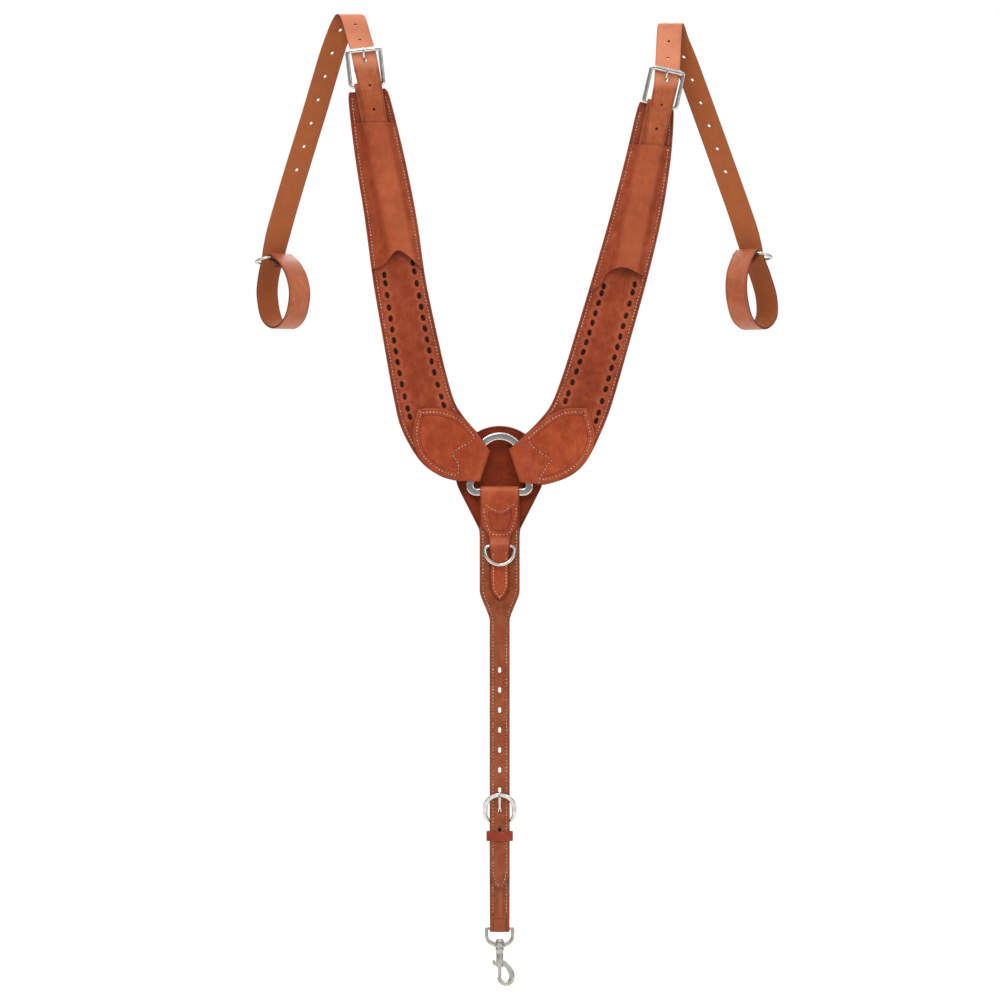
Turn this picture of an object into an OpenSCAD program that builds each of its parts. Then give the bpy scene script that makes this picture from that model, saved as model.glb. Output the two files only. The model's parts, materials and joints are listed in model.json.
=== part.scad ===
// Western breast collar for a saddle horse: two contoured leather shoulder pieces on a
// centre ring, an adjustable down strap with a swivel bolt snap, and two buckled tug straps.
// Millimetres. Origin at the centre of the ring, +Z up, the outer (grain) side faces -Y.

/* [Centre ring] */
// Outer radius of the ring's round top
ring_top_r = 33; // [32:0.5:34]
// Outer radius of the ring's two lower corners
ring_corner_r = 13; // [12.5:0.5:13.5]
// Width of the ring's flat band, seen from the front
ring_band_w = 9.5; // [8:0.5:9.5]
// Thickness of the ring's band, front to back
ring_band_t = 5; // [4:0.5:5]

/* [Leather] */
// Thickness of the front leather of a shoulder piece
front_t = 3.2; // [2.8:0.1:3.2]
// Thickness of the lining of a shoulder piece
lining_t = 3.2; // [2.8:0.1:3.2]
// Thickness of each layer of the down strap
down_layer_t = 2.8; // [2.4:0.1:2.8]
// Thickness of overlays: shoulder tabs, ring tab, chapes and the snap strap
overlay_t = 2.4; // [2.2:0.1:2.4]
// Thickness of the tug straps
tug_t = 3; // [2.6:0.1:3]
// Width of the tug straps
tug_w = 31.75; // [30:0.25:32]

/* [Down strap] */
// Half width of the strap's upper part
down_wide = 25.4; // [24:0.1:26]
// Half width of the strap's lower part
down_narrow = 12.7; // [12:0.1:13]
// Length from the ring's bottom bar to the strap's point
down_length = 504; // [500:1:508]
// Distance between the adjustment holes
hole_pitch = 25.4; // [25:0.1:25.5]
// Number of adjustment holes
hole_count = 9; // [7:1:9]
// Width of an adjustment hole
slot_w = 3.6; // [3.4:0.1:4]
// Length of an adjustment hole
slot_l = 7; // [6.6:0.1:7.4]

/* [Hardware] */
// Wire radius of the tie dee
dee_wire_r = 2.2; // [1.8:0.1:2.2]
// Radius of the tie dee to the middle of its wire
dee_r = 18.6; // [18:0.1:19]
// Radius of a roller buckle's frame wire
frame_wire_r = 2.3; // [2:0.1:2.3]
// Outer radius of a buckle's roller
roller_r = 3.2; // [3:0.1:3.2]
// Distance from a roller buckle's heel bar to its roller
frame_len = 45; // [44:0.5:46]
// Distance between the middles of a roller buckle's side wires
frame_w = 42; // [41:0.5:43]
// Wire radius of a tug ring
tug_ring_wire_r = 1.9; // [1.6:0.1:1.9]
// Radius of the bolt snap's sliding bolt
bolt_r = 2.35; // [2.2:0.05:2.35]

/* [Hidden] */
$fn = 48;

// Ring: the round top's centre is above the origin, the corners' centres are below it
ring_top_z = 7;
ring_mid_top_r = ring_top_r - ring_band_w / 2;
ring_mid_corner_r = ring_corner_r - ring_band_w / 2;
// Angle above +X of the right side bar's outward normal, and the side bar's length
side_normal = 14.4;
side_bar_len = 40.75;
r_step = ring_mid_top_r - ring_mid_corner_r;
ring_corner_x = r_step * cos(side_normal) + side_bar_len * sin(side_normal);
ring_corner_z = ring_top_z + r_step * sin(side_normal) - side_bar_len * cos(side_normal);
bottom_bar_z = ring_corner_z - ring_mid_corner_r;

// Shoulder hinges: the axis that best follows a side bar and the start of the round top
hinge_x = 30;
hinge_z = 2;
hinge_tilt = 18.6;
fold_bore_r = 6.6;
fold_r = fold_bore_r + overlay_t;
fold_nose_r = 7.5;
fold_nose_u = -5;
body_start_u = 9;

// Layers behind and in front of the ring's middle plane (Y = 0)
clear = 0.3;
tab_front_y = -front_t - overlay_t;
safe_t = 3;
safe_high_y = 12;
safe_mid_y = 6;
safe_low_y = down_layer_t + 0.4;
down_tab_y = -down_layer_t - overlay_t;
bottom_bore_r = 5.1;

// Tie dee
dee_z = -104;
dee_y = -down_layer_t - dee_wire_r - clear;
dee_tilt = 8;
dee_bore_r = dee_wire_r + 0.4;

// Down strap
down_tip_z = bottom_bar_z - down_length;
first_hole_z = -261.6;
tongue_hole = 7;
strap_top_z = bottom_bar_z - 5.6;

// Heel-bar buckle of the down strap
heel_z = -455;
heel_r = 2;
heel_y = down_layer_t + clear + overlay_t + heel_r + clear;
buckle_r = 18.4;
buckle_side = 8;
buckle_corner_r = 12;
buckle_wire_r = 2;
buckle_h = buckle_r + buckle_side + buckle_corner_r;
buckle_tilt = 24;
buckle_top_y = heel_y - buckle_h * sin(buckle_tilt);
buckle_top_z = heel_z + buckle_h * cos(buckle_tilt);

// Snap strap and bolt snap
snap_y = down_layer_t + clear + overlay_t;
eye_bar_z = -590.4;
eye_bar_r = 2.2;
eye_half_w = 16.6;
eye_hub_z = -614.6;
hub_r = 5.5;
hub_bore_r = 3.05;
stud_r = 3;
barrel_top_z = -615;
barrel_end_z = -639.4;
barrel_r = 4.7;
bolt_bore_r = bolt_r + 0.05;
bolt_top_z = -631;
bolt_tip_z = -651.4;
spring_top_z = -619;
hook_x = 7.3;
hook_z = -652;
hook_r = 8.2;
hook_wire_r = 3.3;
hook_upper_r = 20;
hook_upper_angle = 50;

// Roller buckles: heel bar's middle in X and Z, lean of the frame, lean of chape and sleeve
heel_front_y = -front_t - overlay_t - 0.2 - 2.2;
chape_bore_r = 2.4;
roller_y = -11.8 - roller_r - 2.4;
function heel_at(side) = side == "left" ? [-168, 480.5] : [203, 455.5];
function frame_lean(side) = side == "left" ? -6 : 13;
function sleeve_lean(side) = side == "left" ? -11.5 : 11.5;
frame_pitch = asin((heel_front_y - roller_y) / frame_len);

// Shoulder piece edges, from the buckle end down to the ring
function outer_edge(side) = side == "left"
    ? [[-187, 472], [-192, 463], [-183, 386], [-171, 310], [-161, 234], [-148, 158],
       [-134, 81], [-124, 43], [-102, 5], [-78, -14], [-57, -21], [-38, -23]]
    : [[218, 452], [221, 444], [217, 386], [205, 310], [187, 234], [166, 158],
       [144, 81], [130, 43], [111, 5], [90, -15], [59, -26], [40, -26]];
function inner_edge(side) = side == "left"
    ? [[-146, 477], [-139, 464], [-120, 386], [-105, 310], [-94, 234], [-78, 158],
       [-69, 119], [-58, 81], [-47, 62], [-31, 43], [-18, 31]]
    : [[178, 460], [173, 445], [159, 386], [139, 310], [117, 234], [94, 158],
       [82, 119], [68, 81], [56, 62], [38, 43], [24, 31]];

// Shoulder tab: the leaf's upper edge, then its lower edge back to the leaf's far side
function tab_upper(side) = side == "left"
    ? [[-104, 70], [-85, 71.5], [-67, 69], [-53, 63], [-46, 59], [-29, 40], [-13, 17]]
    : [[111, 71], [90, 71.5], [78, 69], [64, 62], [50, 52], [26, 31], [15, 21]];
function tab_lower(side) = side == "left"
    ? [[-24, -22], [-40, -22], [-57, -20], [-78, -13], [-94, -1], [-104, 11],
       [-110, 29], [-111, 41], [-109, 54]]
    : [[26, -23], [42, -25], [59, -25], [79, -19], [100, -6], [115, 12],
       [121, 30], [120, 42], [117, 56]];

// Sleeve: top edge, lower edge as an arch of three points
function sleeve_top_z(side) = side == "left" ? [431, 435] : [410, 401];
function sleeve_arch(side) = side == "left"
    ? [[-166, 245], [-147, 252], [-131, 270], [-117, 264], [-106, 254], [-97, 246]]
    : [[194, 232], [177, 241], [157, 249], [138, 243], [129, 228], [115, 218]];

// Lacing: two rows of stitches on each shoulder, as smooth lines
lace_count = [14, 14, 13, 14]; // left outer, left inner, right inner, right outer
lace_l = 8;
lace_w = 4.2;
lace_t = 1.4;
function lace_rows(side) = side == "left"
    ? [[[-146.5, 240], [-140, 195], [-133, 150], [-125, 105], [-114, 60]],
       [[-110.5, 255], [-101.5, 210], [-93.5, 165], [-84, 120], [-71, 75]]]
    : [[[132, 225.5], [121.5, 191.5], [110, 154.5], [97.5, 117.5], [83.5, 80]],
       [[171.5, 228], [159.5, 185], [147.5, 142], [135.5, 98.5], [122.5, 55]]];

// Tug straps: x, y, z and the turn of the strap's width about the vertical
function tug_path(side) = side == "left"
    ? [[-132, -10.6, 300, 0], [-142, -10.6, 350, 0], [-152, -10.6, 404, 0],
       [-159, -11.2, 448, 0], [-163.5, -14.6, 474, 0], [-166, -14.7, 488, 0],
       [-168.5, -13.5, 500, 0], [-170.5, -12.2, 511, 0],
       [-173.5, -11, 525, 0], [-178, 0, 539, 0], [-184, 17, 559, 0],
       [-188, 26, 567.5, 0], [-193, 33, 570, 0], [-198, 39, 565, 0],
       [-202, 41, 555, 0], [-213, 41, 522, 0], [-235, 41, 448, 0], [-258, 41, 373, 0],
       [-276, 41.5, 312, 6], [-285, 43, 281, 22], [-290, 45, 262, 33],
       [-296, 52, 240, 37], [-298, 56.5, 216, 37], [-291.6, 48, 186, 37],
       [-276, 27, 174, 37], [-260.4, 6, 186, 37], [-254, -2.5, 214, 37],
       [-258, 3, 238, 37], [-267, 15, 255, 37], [-277, 28.6, 265, 37],
       [-280, 33, 267.5, 37], [-283, 36.6, 264, 37], [-281, 34, 259, 37],
       [-275, 26, 252, 37]]
    : [[170, -10.6, 290, 0], [180.5, -10.6, 340, 0], [191, -10.6, 388, 0],
       [199, -11.2, 425, 0], [204, -14.6, 449, 0], [207, -14.7, 463, 0],
       [209.5, -13.5, 475, 0], [211.5, -12.2, 486, 0],
       [212.5, -11, 500, 0], [214, 0, 518, 0], [215.5, 16, 541, 0],
       [217, 26, 554, 0], [219, 33, 558.5, 0], [222, 39, 553, 0],
       [225, 41, 543, 0], [234.5, 41, 517, 0], [260, 41, 446, 0], [288, 41, 368, 0],
       [308, 41.5, 311, -6], [317, 43, 284, -22], [323, 45, 266, -32],
       [334, 52, 241, -36], [342, 56.5, 213, -36], [341, 49, 187, -36],
       [326, 28, 173, -36], [309, 5, 184, -36], [301, -5, 212, -36],
       [301, -3, 238, -36], [306, 8, 256, -36], [312.5, 22, 269, -36],
       [316, 29, 273, -36], [319, 34, 270, -36], [317, 31.5, 264.5, -36],
       [311, 24, 257, -36]];
// Where the tug ring's straight side lies in the folded end of the strap
function tug_ring_at(side) = side == "left" ? [-279.6, 32.6, 263.8] : [315.6, 28.8, 269.2];
function tug_ring_turn(side) = side == "left" ? 37 : -36;
// Stations of a tug strap: behind the roller, and the ends of its straight rear part
roller_station = 8;
rear_top_station = 15;
rear_low_station = 17;
tug_hole_r = 2;
tug_taper_from = 500;
tug_taper_to = 300;
tug_tail_w = 22;

// ---------- helper functions and modules ----------

function mirror_of(side) = side == "left" ? 1 : 0;

// A point between p1 and p2 on the smooth curve that passes through p0, p1, p2 and p3
function between(p0, p1, p2, p3, t) =
    0.5 * (2 * p1 + t * (p2 - p0) + t * t * (2 * p0 - 5 * p1 + 4 * p2 - p3)
    + t * t * t * (3 * p1 - p0 - 3 * p2 + p3));

// The smooth curve through a list of points, with n steps from each point to the next
function smooth(points, n) = [
    for (i = [0:len(points) - 2])
        for (k = [0:n - 1])
            between(points[max(i - 1, 0)], points[i], points[i + 1],
                    points[min(i + 2, len(points) - 1)], k / n),
    points[len(points) - 1]
];

// Points along an arc round c, from angle a to angle b
function arc(c, r, a, b, n = 16) = [
    for (i = [0:n]) c + r * [cos(a + (b - a) * i / n), sin(a + (b - a) * i / n)]
];

function reversed(list) = [for (i = [len(list) - 1:-1:0]) list[i]];
function unit(v) = v / norm(v);

// A flat outline in X and Z, given thickness from y_front back to y_back
module plate(y_front, y_back) {
    translate([0, y_back, 0])
        rotate([90, 0, 0])
            linear_extrude(y_back - y_front)
                children();
}

// A section in Y and Z, drawn out along X and centred on the middle plane
module across(width) {
    translate([-width / 2, 0, 0])
        rotate([90, 0, 90])
            linear_extrude(width)
                children();
}

// A straight round rod from point a to point b
module rod(a, b, r) {
    d = b - a;
    translate(a)
        rotate([0, acos(d[2] / norm(d)), atan2(d[1], d[0])])
            cylinder(h = norm(d), r = r, $fn = 24);
}

// A rod through several points, with round joints
module bent_rod(points, r) {
    for (i = [0:len(points) - 2])
        rod(points[i], points[i + 1], r);
    for (p = points)
        translate(p)
            sphere(r = r, $fn = 24);
}

// Outline of a bent strip: its middle line given as points, and half its thickness
function side_step(points, i) =
    let (d = unit(points[min(i + 1, len(points) - 1)] - points[max(i - 1, 0)]))
    [-d[1], d[0]];
module strip_outline(points, half) {
    last = len(points) - 1;
    polygon(concat([for (i = [0:last]) points[i] + half * side_step(points, i)],
                   reversed([for (i = [0:last]) points[i] - half * side_step(points, i)])));
}

// The frame of a shoulder's hinge: Z along the side bar, X away from the ring
module on_side_bar(side) {
    mirror([mirror_of(side), 0, 0])
        translate([hinge_x, 0, hinge_z])
            rotate([0, -hinge_tilt, 0])
                children();
}

// The frame of a roller buckle: Z towards the roller, X across the strap
module on_heel_bar(side, lean) {
    heel = heel_at(side);
    translate([heel[0], heel_front_y, heel[1]])
        rotate([0, lean, 0])
            children();
}

// ---------- centre ring and down strap ----------

module band_section() {
    flat = ring_band_w - ring_band_t;
    translate([-flat / 2, -ring_band_t / 2])
        square([flat, ring_band_t]);
    for (s = [-1, 1])
        translate([s * flat / 2, 0])
            circle(d = ring_band_t);
}

module band_arc(x, z, r, start, sweep) {
    translate([x, 0, z])
        rotate([90, 0, 0])
            rotate([0, 0, start])
                rotate_extrude(angle = sweep, $fn = 72)
                    translate([r, 0])
                        band_section();
}

module ring_side_bar() {
    translate([0, 0, ring_top_z])
        rotate([0, -side_normal, 0])
            translate([ring_mid_top_r, 0, -side_bar_len])
                linear_extrude(side_bar_len)
                    band_section();
}

module centre_ring() {
    color("silver") {
        band_arc(0, ring_top_z, ring_mid_top_r, side_normal, 180 - 2 * side_normal);
        band_arc(ring_corner_x, ring_corner_z, ring_mid_corner_r, -90, 90 + side_normal);
        band_arc(-ring_corner_x, ring_corner_z, ring_mid_corner_r, 180 - side_normal,
                 90 + side_normal);
        ring_side_bar();
        mirror([1, 0, 0])
            ring_side_bar();
        translate([-ring_corner_x, 0, bottom_bar_z])
            rotate([0, 90, 0])
                linear_extrude(2 * ring_corner_x)
                    band_section();
    }
}

// Round shield behind the ring that narrows to the strap's width
module safe_outline() {
    centre = [0, -8.4];
    tangent = 28;
    polygon(concat(arc(centre, 57, -tangent, 180 + tangent, 72),
                   [[-26, -83], [-24, -118], [24, -118], [26, -83]]));
}

module safe_section() {
    polygon([
        [safe_high_y, 60], [safe_high_y + safe_t, 60],
        [safe_high_y + safe_t, -30], [safe_mid_y + safe_t, -52],
        [safe_mid_y + safe_t, -80], [safe_low_y + safe_t, -96],
        [safe_low_y + safe_t, -118], [safe_low_y, -118],
        [safe_low_y, -95], [safe_mid_y, -79], [safe_mid_y, -50], [safe_high_y, -28]
    ]);
}

module ring_safe() {
    color("saddlebrown")
        intersection() {
            plate(safe_low_y - 1, safe_high_y + safe_t + 1)
                safe_outline();
            across(140)
                safe_section();
        }
}

function strap_half(points) = concat(points, reversed([for (p = points) [-p[0], p[1]]]));

module down_strap_outline() {
    taper = smooth([[down_wide, -160], [down_wide - 1.5, -168], [down_narrow + 3, -188],
                    [down_narrow, -197]], 6);
    tip = smooth([[down_narrow, down_tip_z + 22], [down_narrow - 3, down_tip_z + 9],
                  [down_narrow - 8, down_tip_z + 2], [0, down_tip_z]], 5);
    polygon(strap_half(concat([[down_wide, strap_top_z]], taper, tip)));
}

module slot() {
    straight = slot_l - slot_w;
    translate([-slot_w / 2, -straight / 2])
        square([slot_w, straight]);
    for (s = [-1, 1])
        translate([0, s * straight / 2])
            circle(d = slot_w);
}

module down_strap_layer(y_front, y_back) {
    difference() {
        plate(y_front, y_back)
            down_strap_outline();
        plate(y_front - 1, y_back + 1)
            for (i = [0:hole_count - 1])
                translate([0, first_hole_z - i * hole_pitch])
                    slot();
    }
}

module down_strap_front() {
    color("sienna")
        down_strap_layer(-down_layer_t, 0);
}

module down_strap_lining() {
    color("peru")
        down_strap_layer(0, down_layer_t);
}

module ring_tab_outline() {
    shoulder = smooth([[25, -72], [23, -80], [16.5, -90], [14, -96]], 5);
    strip = smooth([[12.7, -150], [11.5, -159], [7, -168], [0, -174]], 5);
    polygon(strap_half(concat([[25, -20]], shoulder, [[12.7, -118]], strip)));
}

// Section of the tab that wraps the bottom bar and bridges the dee's bar
module ring_tab_section() {
    outer_r = bottom_bore_r + overlay_t;
    difference() {
        union() {
            translate([0, bottom_bar_z])
                circle(r = outer_r);
            polygon([[0, bottom_bar_z + 4], [-outer_r, bottom_bar_z], [down_tab_y, -48],
                     [down_tab_y, -94], [dee_y - 4.6, -101], [dee_y - 4.6, -107],
                     [down_tab_y, -116], [down_tab_y, -176], [-down_layer_t, -176],
                     [-down_layer_t, strap_top_z], [down_layer_t, strap_top_z],
                     [down_layer_t, -76], [-down_tab_y, -76], [-down_tab_y, -48],
                     [outer_r, bottom_bar_z]]);
        }
        translate([0, bottom_bar_z])
            circle(r = bottom_bore_r);
        translate([dee_y, dee_z])
            circle(r = dee_bore_r);
        translate([-down_layer_t, -60])
            square([2 * down_layer_t, 60 + strap_top_z]);
    }
}

module ring_tab() {
    color("chocolate")
        intersection() {
            plate(-20, 20)
                ring_tab_outline();
            across(60)
                ring_tab_section();
        }
}

module tie_dee() {
    side_drop = 4;
    color("silver")
        translate([0, dee_y, dee_z])
            rotate([-dee_tilt, 0, 0]) {
                bent_rod([[-dee_r, 0, 0], [dee_r, 0, 0]], dee_wire_r);
                for (s = [-1, 1])
                    rod([s * dee_r, 0, 0], [s * dee_r, 0, -side_drop], dee_wire_r);
                translate([0, 0, -side_drop])
                    rotate([90, 0, 0])
                        rotate([0, 0, 180])
                            rotate_extrude(angle = 180, $fn = 72)
                                translate([dee_r, 0])
                                    circle(r = dee_wire_r, $fn = 24);
            }
}

// ---------- down strap's buckle, keeper and snap ----------

module buckle_arc(x, z, r, start, sweep) {
    translate([x, 0, z])
        rotate([90, 0, 0])
            rotate([0, 0, start])
                rotate_extrude(angle = sweep, $fn = 72)
                    translate([r, 0])
                        circle(r = buckle_wire_r, $fn = 24);
}

module down_buckle_frame() {
    corner_x = buckle_r - buckle_corner_r;
    color("silver")
        translate([0, heel_y, heel_z])
            rotate([buckle_tilt, 0, 0]) {
                buckle_arc(0, buckle_side + buckle_corner_r, buckle_r, 0, 180);
                for (s = [-1, 1])
                    rod([s * buckle_r, 0, buckle_corner_r],
                        [s * buckle_r, 0, buckle_corner_r + buckle_side], buckle_wire_r);
                buckle_arc(corner_x, buckle_corner_r, buckle_corner_r, -90, 90);
                buckle_arc(-corner_x, buckle_corner_r, buckle_corner_r, 180, 90);
                rod([-corner_x, 0, 0], [corner_x, 0, 0], heel_r);
            }
}

module down_buckle_tongue() {
    hole_z = first_hole_z - tongue_hole * hole_pitch;
    half_t = 1.2;
    tip_y = buckle_top_y - buckle_wire_r - clear - half_t;
    color("gainsboro")
        difference() {
            union() {
                translate([-2, heel_y, heel_z])
                    rotate([0, 90, 0])
                        cylinder(h = 4, r = heel_r + 1.4);
                across(2.6)
                    strip_outline([[heel_y, heel_z + 2.6], [6, hole_z - 5],
                                   [4.6, hole_z - 1.6], [2.6, hole_z], [-4.2, hole_z + 0.2],
                                   [-7.6, hole_z + 2], [-9.4, hole_z + 6],
                                   [tip_y, buckle_top_z - 5], [tip_y, buckle_top_z]], half_t);
            }
            translate([-10, heel_y, heel_z])
                rotate([0, 90, 0])
                    cylinder(h = 20, r = heel_r + 0.05);
        }
}

module strap_keeper() {
    keeper_z = -472.5;
    keeper_h = 12;
    half_in = down_narrow + 0.5;
    wall = 2;
    back_y = snap_y + overlay_t + 0.5;
    color("brown")
        translate([0, 0, keeper_z - keeper_h / 2])
            difference() {
                translate([-half_in - wall, -down_layer_t - 0.5 - wall, 0])
                    cube([2 * (half_in + wall), back_y + down_layer_t + 0.5 + 2 * wall, keeper_h]);
                translate([-half_in, -down_layer_t - 0.5, -1])
                    cube([2 * half_in, back_y + down_layer_t + 0.5, keeper_h + 2]);
            }
}

// Section of the folded strap: round the heel bar at the top, round the snap's bar below
module snap_strap_section() {
    front_y = snap_y - overlay_t;
    back_y = snap_y + overlay_t;
    top_r = heel_r + clear + overlay_t;
    low_r = eye_bar_r + clear + overlay_t;
    difference() {
        union() {
            translate([heel_y, heel_z])
                circle(r = top_r);
            translate([snap_y, eye_bar_z])
                circle(r = low_r);
            polygon([[front_y, heel_z], [front_y, eye_bar_z + 10], [snap_y - low_r, eye_bar_z],
                     [snap_y + low_r, eye_bar_z], [back_y, eye_bar_z + 10],
                     [back_y, heel_z - 10.5], [heel_y + top_r, heel_z]]);
        }
        translate([heel_y, heel_z])
            circle(r = heel_r + clear);
        translate([snap_y, eye_bar_z])
            circle(r = eye_bar_r + 0.1);
    }
}

module snap_strap() {
    loop_half = 9;
    color("sienna")
        difference() {
            intersection() {
                across(2 * down_narrow)
                    snap_strap_section();
                plate(-5, 20)
                    polygon([[-loop_half, heel_z + 8], [loop_half, heel_z + 8],
                             [loop_half, heel_z - 5], [down_narrow, heel_z - 9],
                             [down_narrow, eye_bar_z - 8], [-down_narrow, eye_bar_z - 8],
                             [-down_narrow, heel_z - 9], [-loop_half, heel_z - 5]]);
            }
            translate([-2.6, -5, heel_z - 6])
                cube([5.2, 25, 20]);
        }
}

module snap_eye() {
    neck_x = hub_r - 1;
    color("silver")
        translate([0, snap_y, 0])
            difference() {
                union() {
                    rod([-eye_half_w, 0, eye_bar_z], [eye_half_w, 0, eye_bar_z], eye_bar_r);
                    for (s = [-1, 1])
                        bent_rod([[s * eye_half_w, 0, eye_bar_z], [s * eye_half_w, 0, -603],
                                  [s * (eye_half_w - 3), 0, -607.5], [s * neck_x, 0, -611.5]],
                                 eye_bar_r);
                    translate([0, 0, eye_hub_z])
                        cylinder(h = 6, r = hub_r);
                }
                translate([0, 0, eye_hub_z - 5])
                    cylinder(h = 12, r = hub_bore_r);
                translate([0, 0, eye_hub_z - 5])
                    cylinder(h = 5, r = 12);
            }
}

module snap_swivel_stud() {
    head_z = eye_hub_z + 6.1;
    color("gray")
        translate([0, snap_y, 0]) {
            translate([0, 0, barrel_top_z])
                cylinder(h = head_z - barrel_top_z + 1, r = stud_r);
            intersection() {
                translate([0, 0, head_z - 1.2])
                    sphere(r = 4.8);
                translate([-6, -6, head_z])
                    cube([12, 12, 8]);
            }
        }
}

module hook_arc(x, z, r, start, sweep) {
    translate([x, 0, z])
        rotate([90, 0, 0])
            rotate([0, 0, start])
                rotate_extrude(angle = sweep, $fn = 72)
                    translate([r, 0])
                        circle(r = hook_wire_r, $fn = 32);
}

module snap_hook_body() {
    join_x = hook_x + hook_r - hook_upper_r + hook_upper_r * cos(hook_upper_angle);
    join_z = hook_z + hook_upper_r * sin(hook_upper_angle);
    neck_l = 9;
    color("silver")
        translate([0, snap_y, 0])
            difference() {
                union() {
                    translate([0, 0, barrel_end_z])
                        cylinder(h = barrel_top_z - barrel_end_z, r = barrel_r);
                    translate([0, 0, barrel_top_z - 3])
                        cylinder(h = 3, r = hub_r);
                    hook_arc(hook_x, hook_z, hook_r, 180, 180);
                    hook_arc(hook_x + hook_r - hook_upper_r, hook_z, hook_upper_r, 0,
                             hook_upper_angle);
                    rod([join_x, 0, join_z], [join_x - neck_l * sin(hook_upper_angle), 0,
                        join_z + neck_l * cos(hook_upper_angle)], hook_wire_r);
                }
                translate([0, 0, barrel_end_z - 3])
                    cylinder(h = spring_top_z - barrel_end_z + 3, r = bolt_bore_r);
                translate([-10, -1.6, barrel_end_z - 1])
                    cube([10, 3.2, 18]);
            }
}

module snap_bolt() {
    color("gainsboro")
        translate([0, snap_y, 0]) {
            translate([0, 0, bolt_tip_z])
                cylinder(h = bolt_top_z - bolt_tip_z, r = bolt_r);
            translate([-6.5, -1.2, -638.5])
                cube([5, 2.4, 6]);
            translate([-7.2, 0, -639])
                cylinder(h = 8.5, r = 1.6, $fn = 24);
        }
}

module snap_spring() {
    color("dimgray")
        translate([0, snap_y, bolt_top_z + 0.1])
            difference() {
                cylinder(h = spring_top_z - bolt_top_z - 0.2, r = 2.2);
                translate([0, 0, -1])
                    cylinder(h = 30, r = 1.5);
            }
}

// ---------- shoulder pieces ----------

module body_outline(side) {
    polygon(concat(smooth(outer_edge(side), 6), reversed(smooth(inner_edge(side), 6))));
}

module body_layer(side, y_front, y_back) {
    difference() {
        plate(y_front, y_back)
            body_outline(side);
        on_side_bar(side)
            translate([body_start_u - 100, -20, -100])
                cube([100, 40, 200]);
    }
}

module body_front(side) {
    color("sienna")
        body_layer(side, -front_t, 0);
}

module body_lining(side) {
    color("peru")
        body_layer(side, 0, lining_t);
}

// Section of the tab across the side bar: front layer, fold with its nose, back layer
module tab_section() {
    back_y = lining_t + overlay_t;
    difference() {
        union() {
            circle(r = fold_r);
            translate([fold_nose_u, 0])
                circle(r = fold_nose_r);
            polygon([[-2, -fold_r + 0.3], [3, -fold_r + 0.5], [14, tab_front_y],
                     [150, tab_front_y], [150, -front_t], [body_start_u, -front_t], [0, 0],
                     [body_start_u, lining_t], [52, lining_t], [52, back_y], [14, back_y],
                     [3, fold_r - 0.5], [-2, fold_r - 0.3]]);
        }
        circle(r = fold_bore_r);
        translate([0, -front_t])
            square([body_start_u, front_t + lining_t]);
    }
}

module shoulder_tab(side) {
    color("chocolate")
        intersection() {
            plate(-20, 20)
                polygon(concat(smooth(tab_upper(side), 4), smooth(tab_lower(side), 4)));
            on_side_bar(side)
                translate([0, 0, -80])
                    linear_extrude(220)
                        tab_section();
        }
}

// Raised section of the sleeve over the strap and its chape
module sleeve_section() {
    wing = 60;
    rise = 18.5;
    top_y = -15.4;
    skin = 2.6;
    difference() {
        polygon([[-wing, -front_t], [-wing, -front_t - skin], [-rise - 6, -front_t - skin],
                 [-rise, -11.5], [-rise + 4, top_y + 1], [-8, top_y], [8, top_y],
                 [rise - 4, top_y + 1], [rise, -11.5], [rise + 6, -front_t - skin],
                 [wing, -front_t - skin], [wing, -front_t]]);
        polygon([[-17, -front_t + 1], [-17, -11], [-15, -12.7], [15, -12.7], [17, -11],
                 [17, -front_t + 1]]);
    }
}

module sleeve_outline(side) {
    heights = sleeve_top_z(side);
    intersection() {
        body_outline(side);
        polygon(concat([[mirror_of(side) == 1 ? -230 : 110, heights[0]],
                        [mirror_of(side) == 1 ? -90 : 240, heights[1]]],
                       smooth(mirror_of(side) == 1 ? reversed(sleeve_arch(side))
                                                   : sleeve_arch(side), 4)));
    }
}

module sleeve(side) {
    color("sienna")
        intersection() {
            plate(-20, 0)
                sleeve_outline(side);
            on_heel_bar(side, sleeve_lean(side))
                translate([0, -heel_front_y, -260])
                    linear_extrude(260)
                        sleeve_section();
        }
}

// One buck stitch at p, pointing along d
module lace_stitch(p, d) {
    straight = lace_l - lace_w;
    plate(-front_t - lace_t, -front_t)
        translate(p)
            rotate(atan2(d[1], d[0])) {
                translate([-straight / 2, -lace_w / 2])
                    square([straight, lace_w]);
                for (s = [-1, 1])
                    translate([s * straight / 2, 0])
                        circle(d = lace_w, $fn = 24);
            }
}

module lacing(side) {
    first = side == "left" ? 0 : 2;
    color("maroon")
        for (row = [0, 1]) {
            count = lace_count[first + row];
            line = smooth(lace_rows(side)[row], count - 1);
            for (i = [0:count - 1]) {
                k = 4 * i;
                lace_stitch(line[k], line[max(k, 1)] - line[max(k, 1) - 1]);
            }
        }
}

// ---------- roller buckles ----------

// Section of the chape: two layers that meet below the heel bar
module chape_section() {
    outer_r = chape_bore_r + overlay_t;
    back_y = -front_t - heel_front_y;
    front_y = back_y - 2 * overlay_t;
    polygon(concat(arc([0, 0], outer_r, 0, 180),
                   [[front_y, -12], [front_y, -175], [back_y, -175], [back_y, -12]]));
}

module buckle_chape(side) {
    chape_w = 33;
    color("peru")
        difference() {
            on_heel_bar(side, sleeve_lean(side))
                across(chape_w)
                    chape_section();
            on_heel_bar(side, frame_lean(side)) {
                translate([-3, -10, -6])
                    cube([6, 30, 20]);
                translate([-chape_w, 0, 0])
                    rotate([0, 90, 0])
                        cylinder(h = 2 * chape_w, r = chape_bore_r);
            }
        }
}

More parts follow.
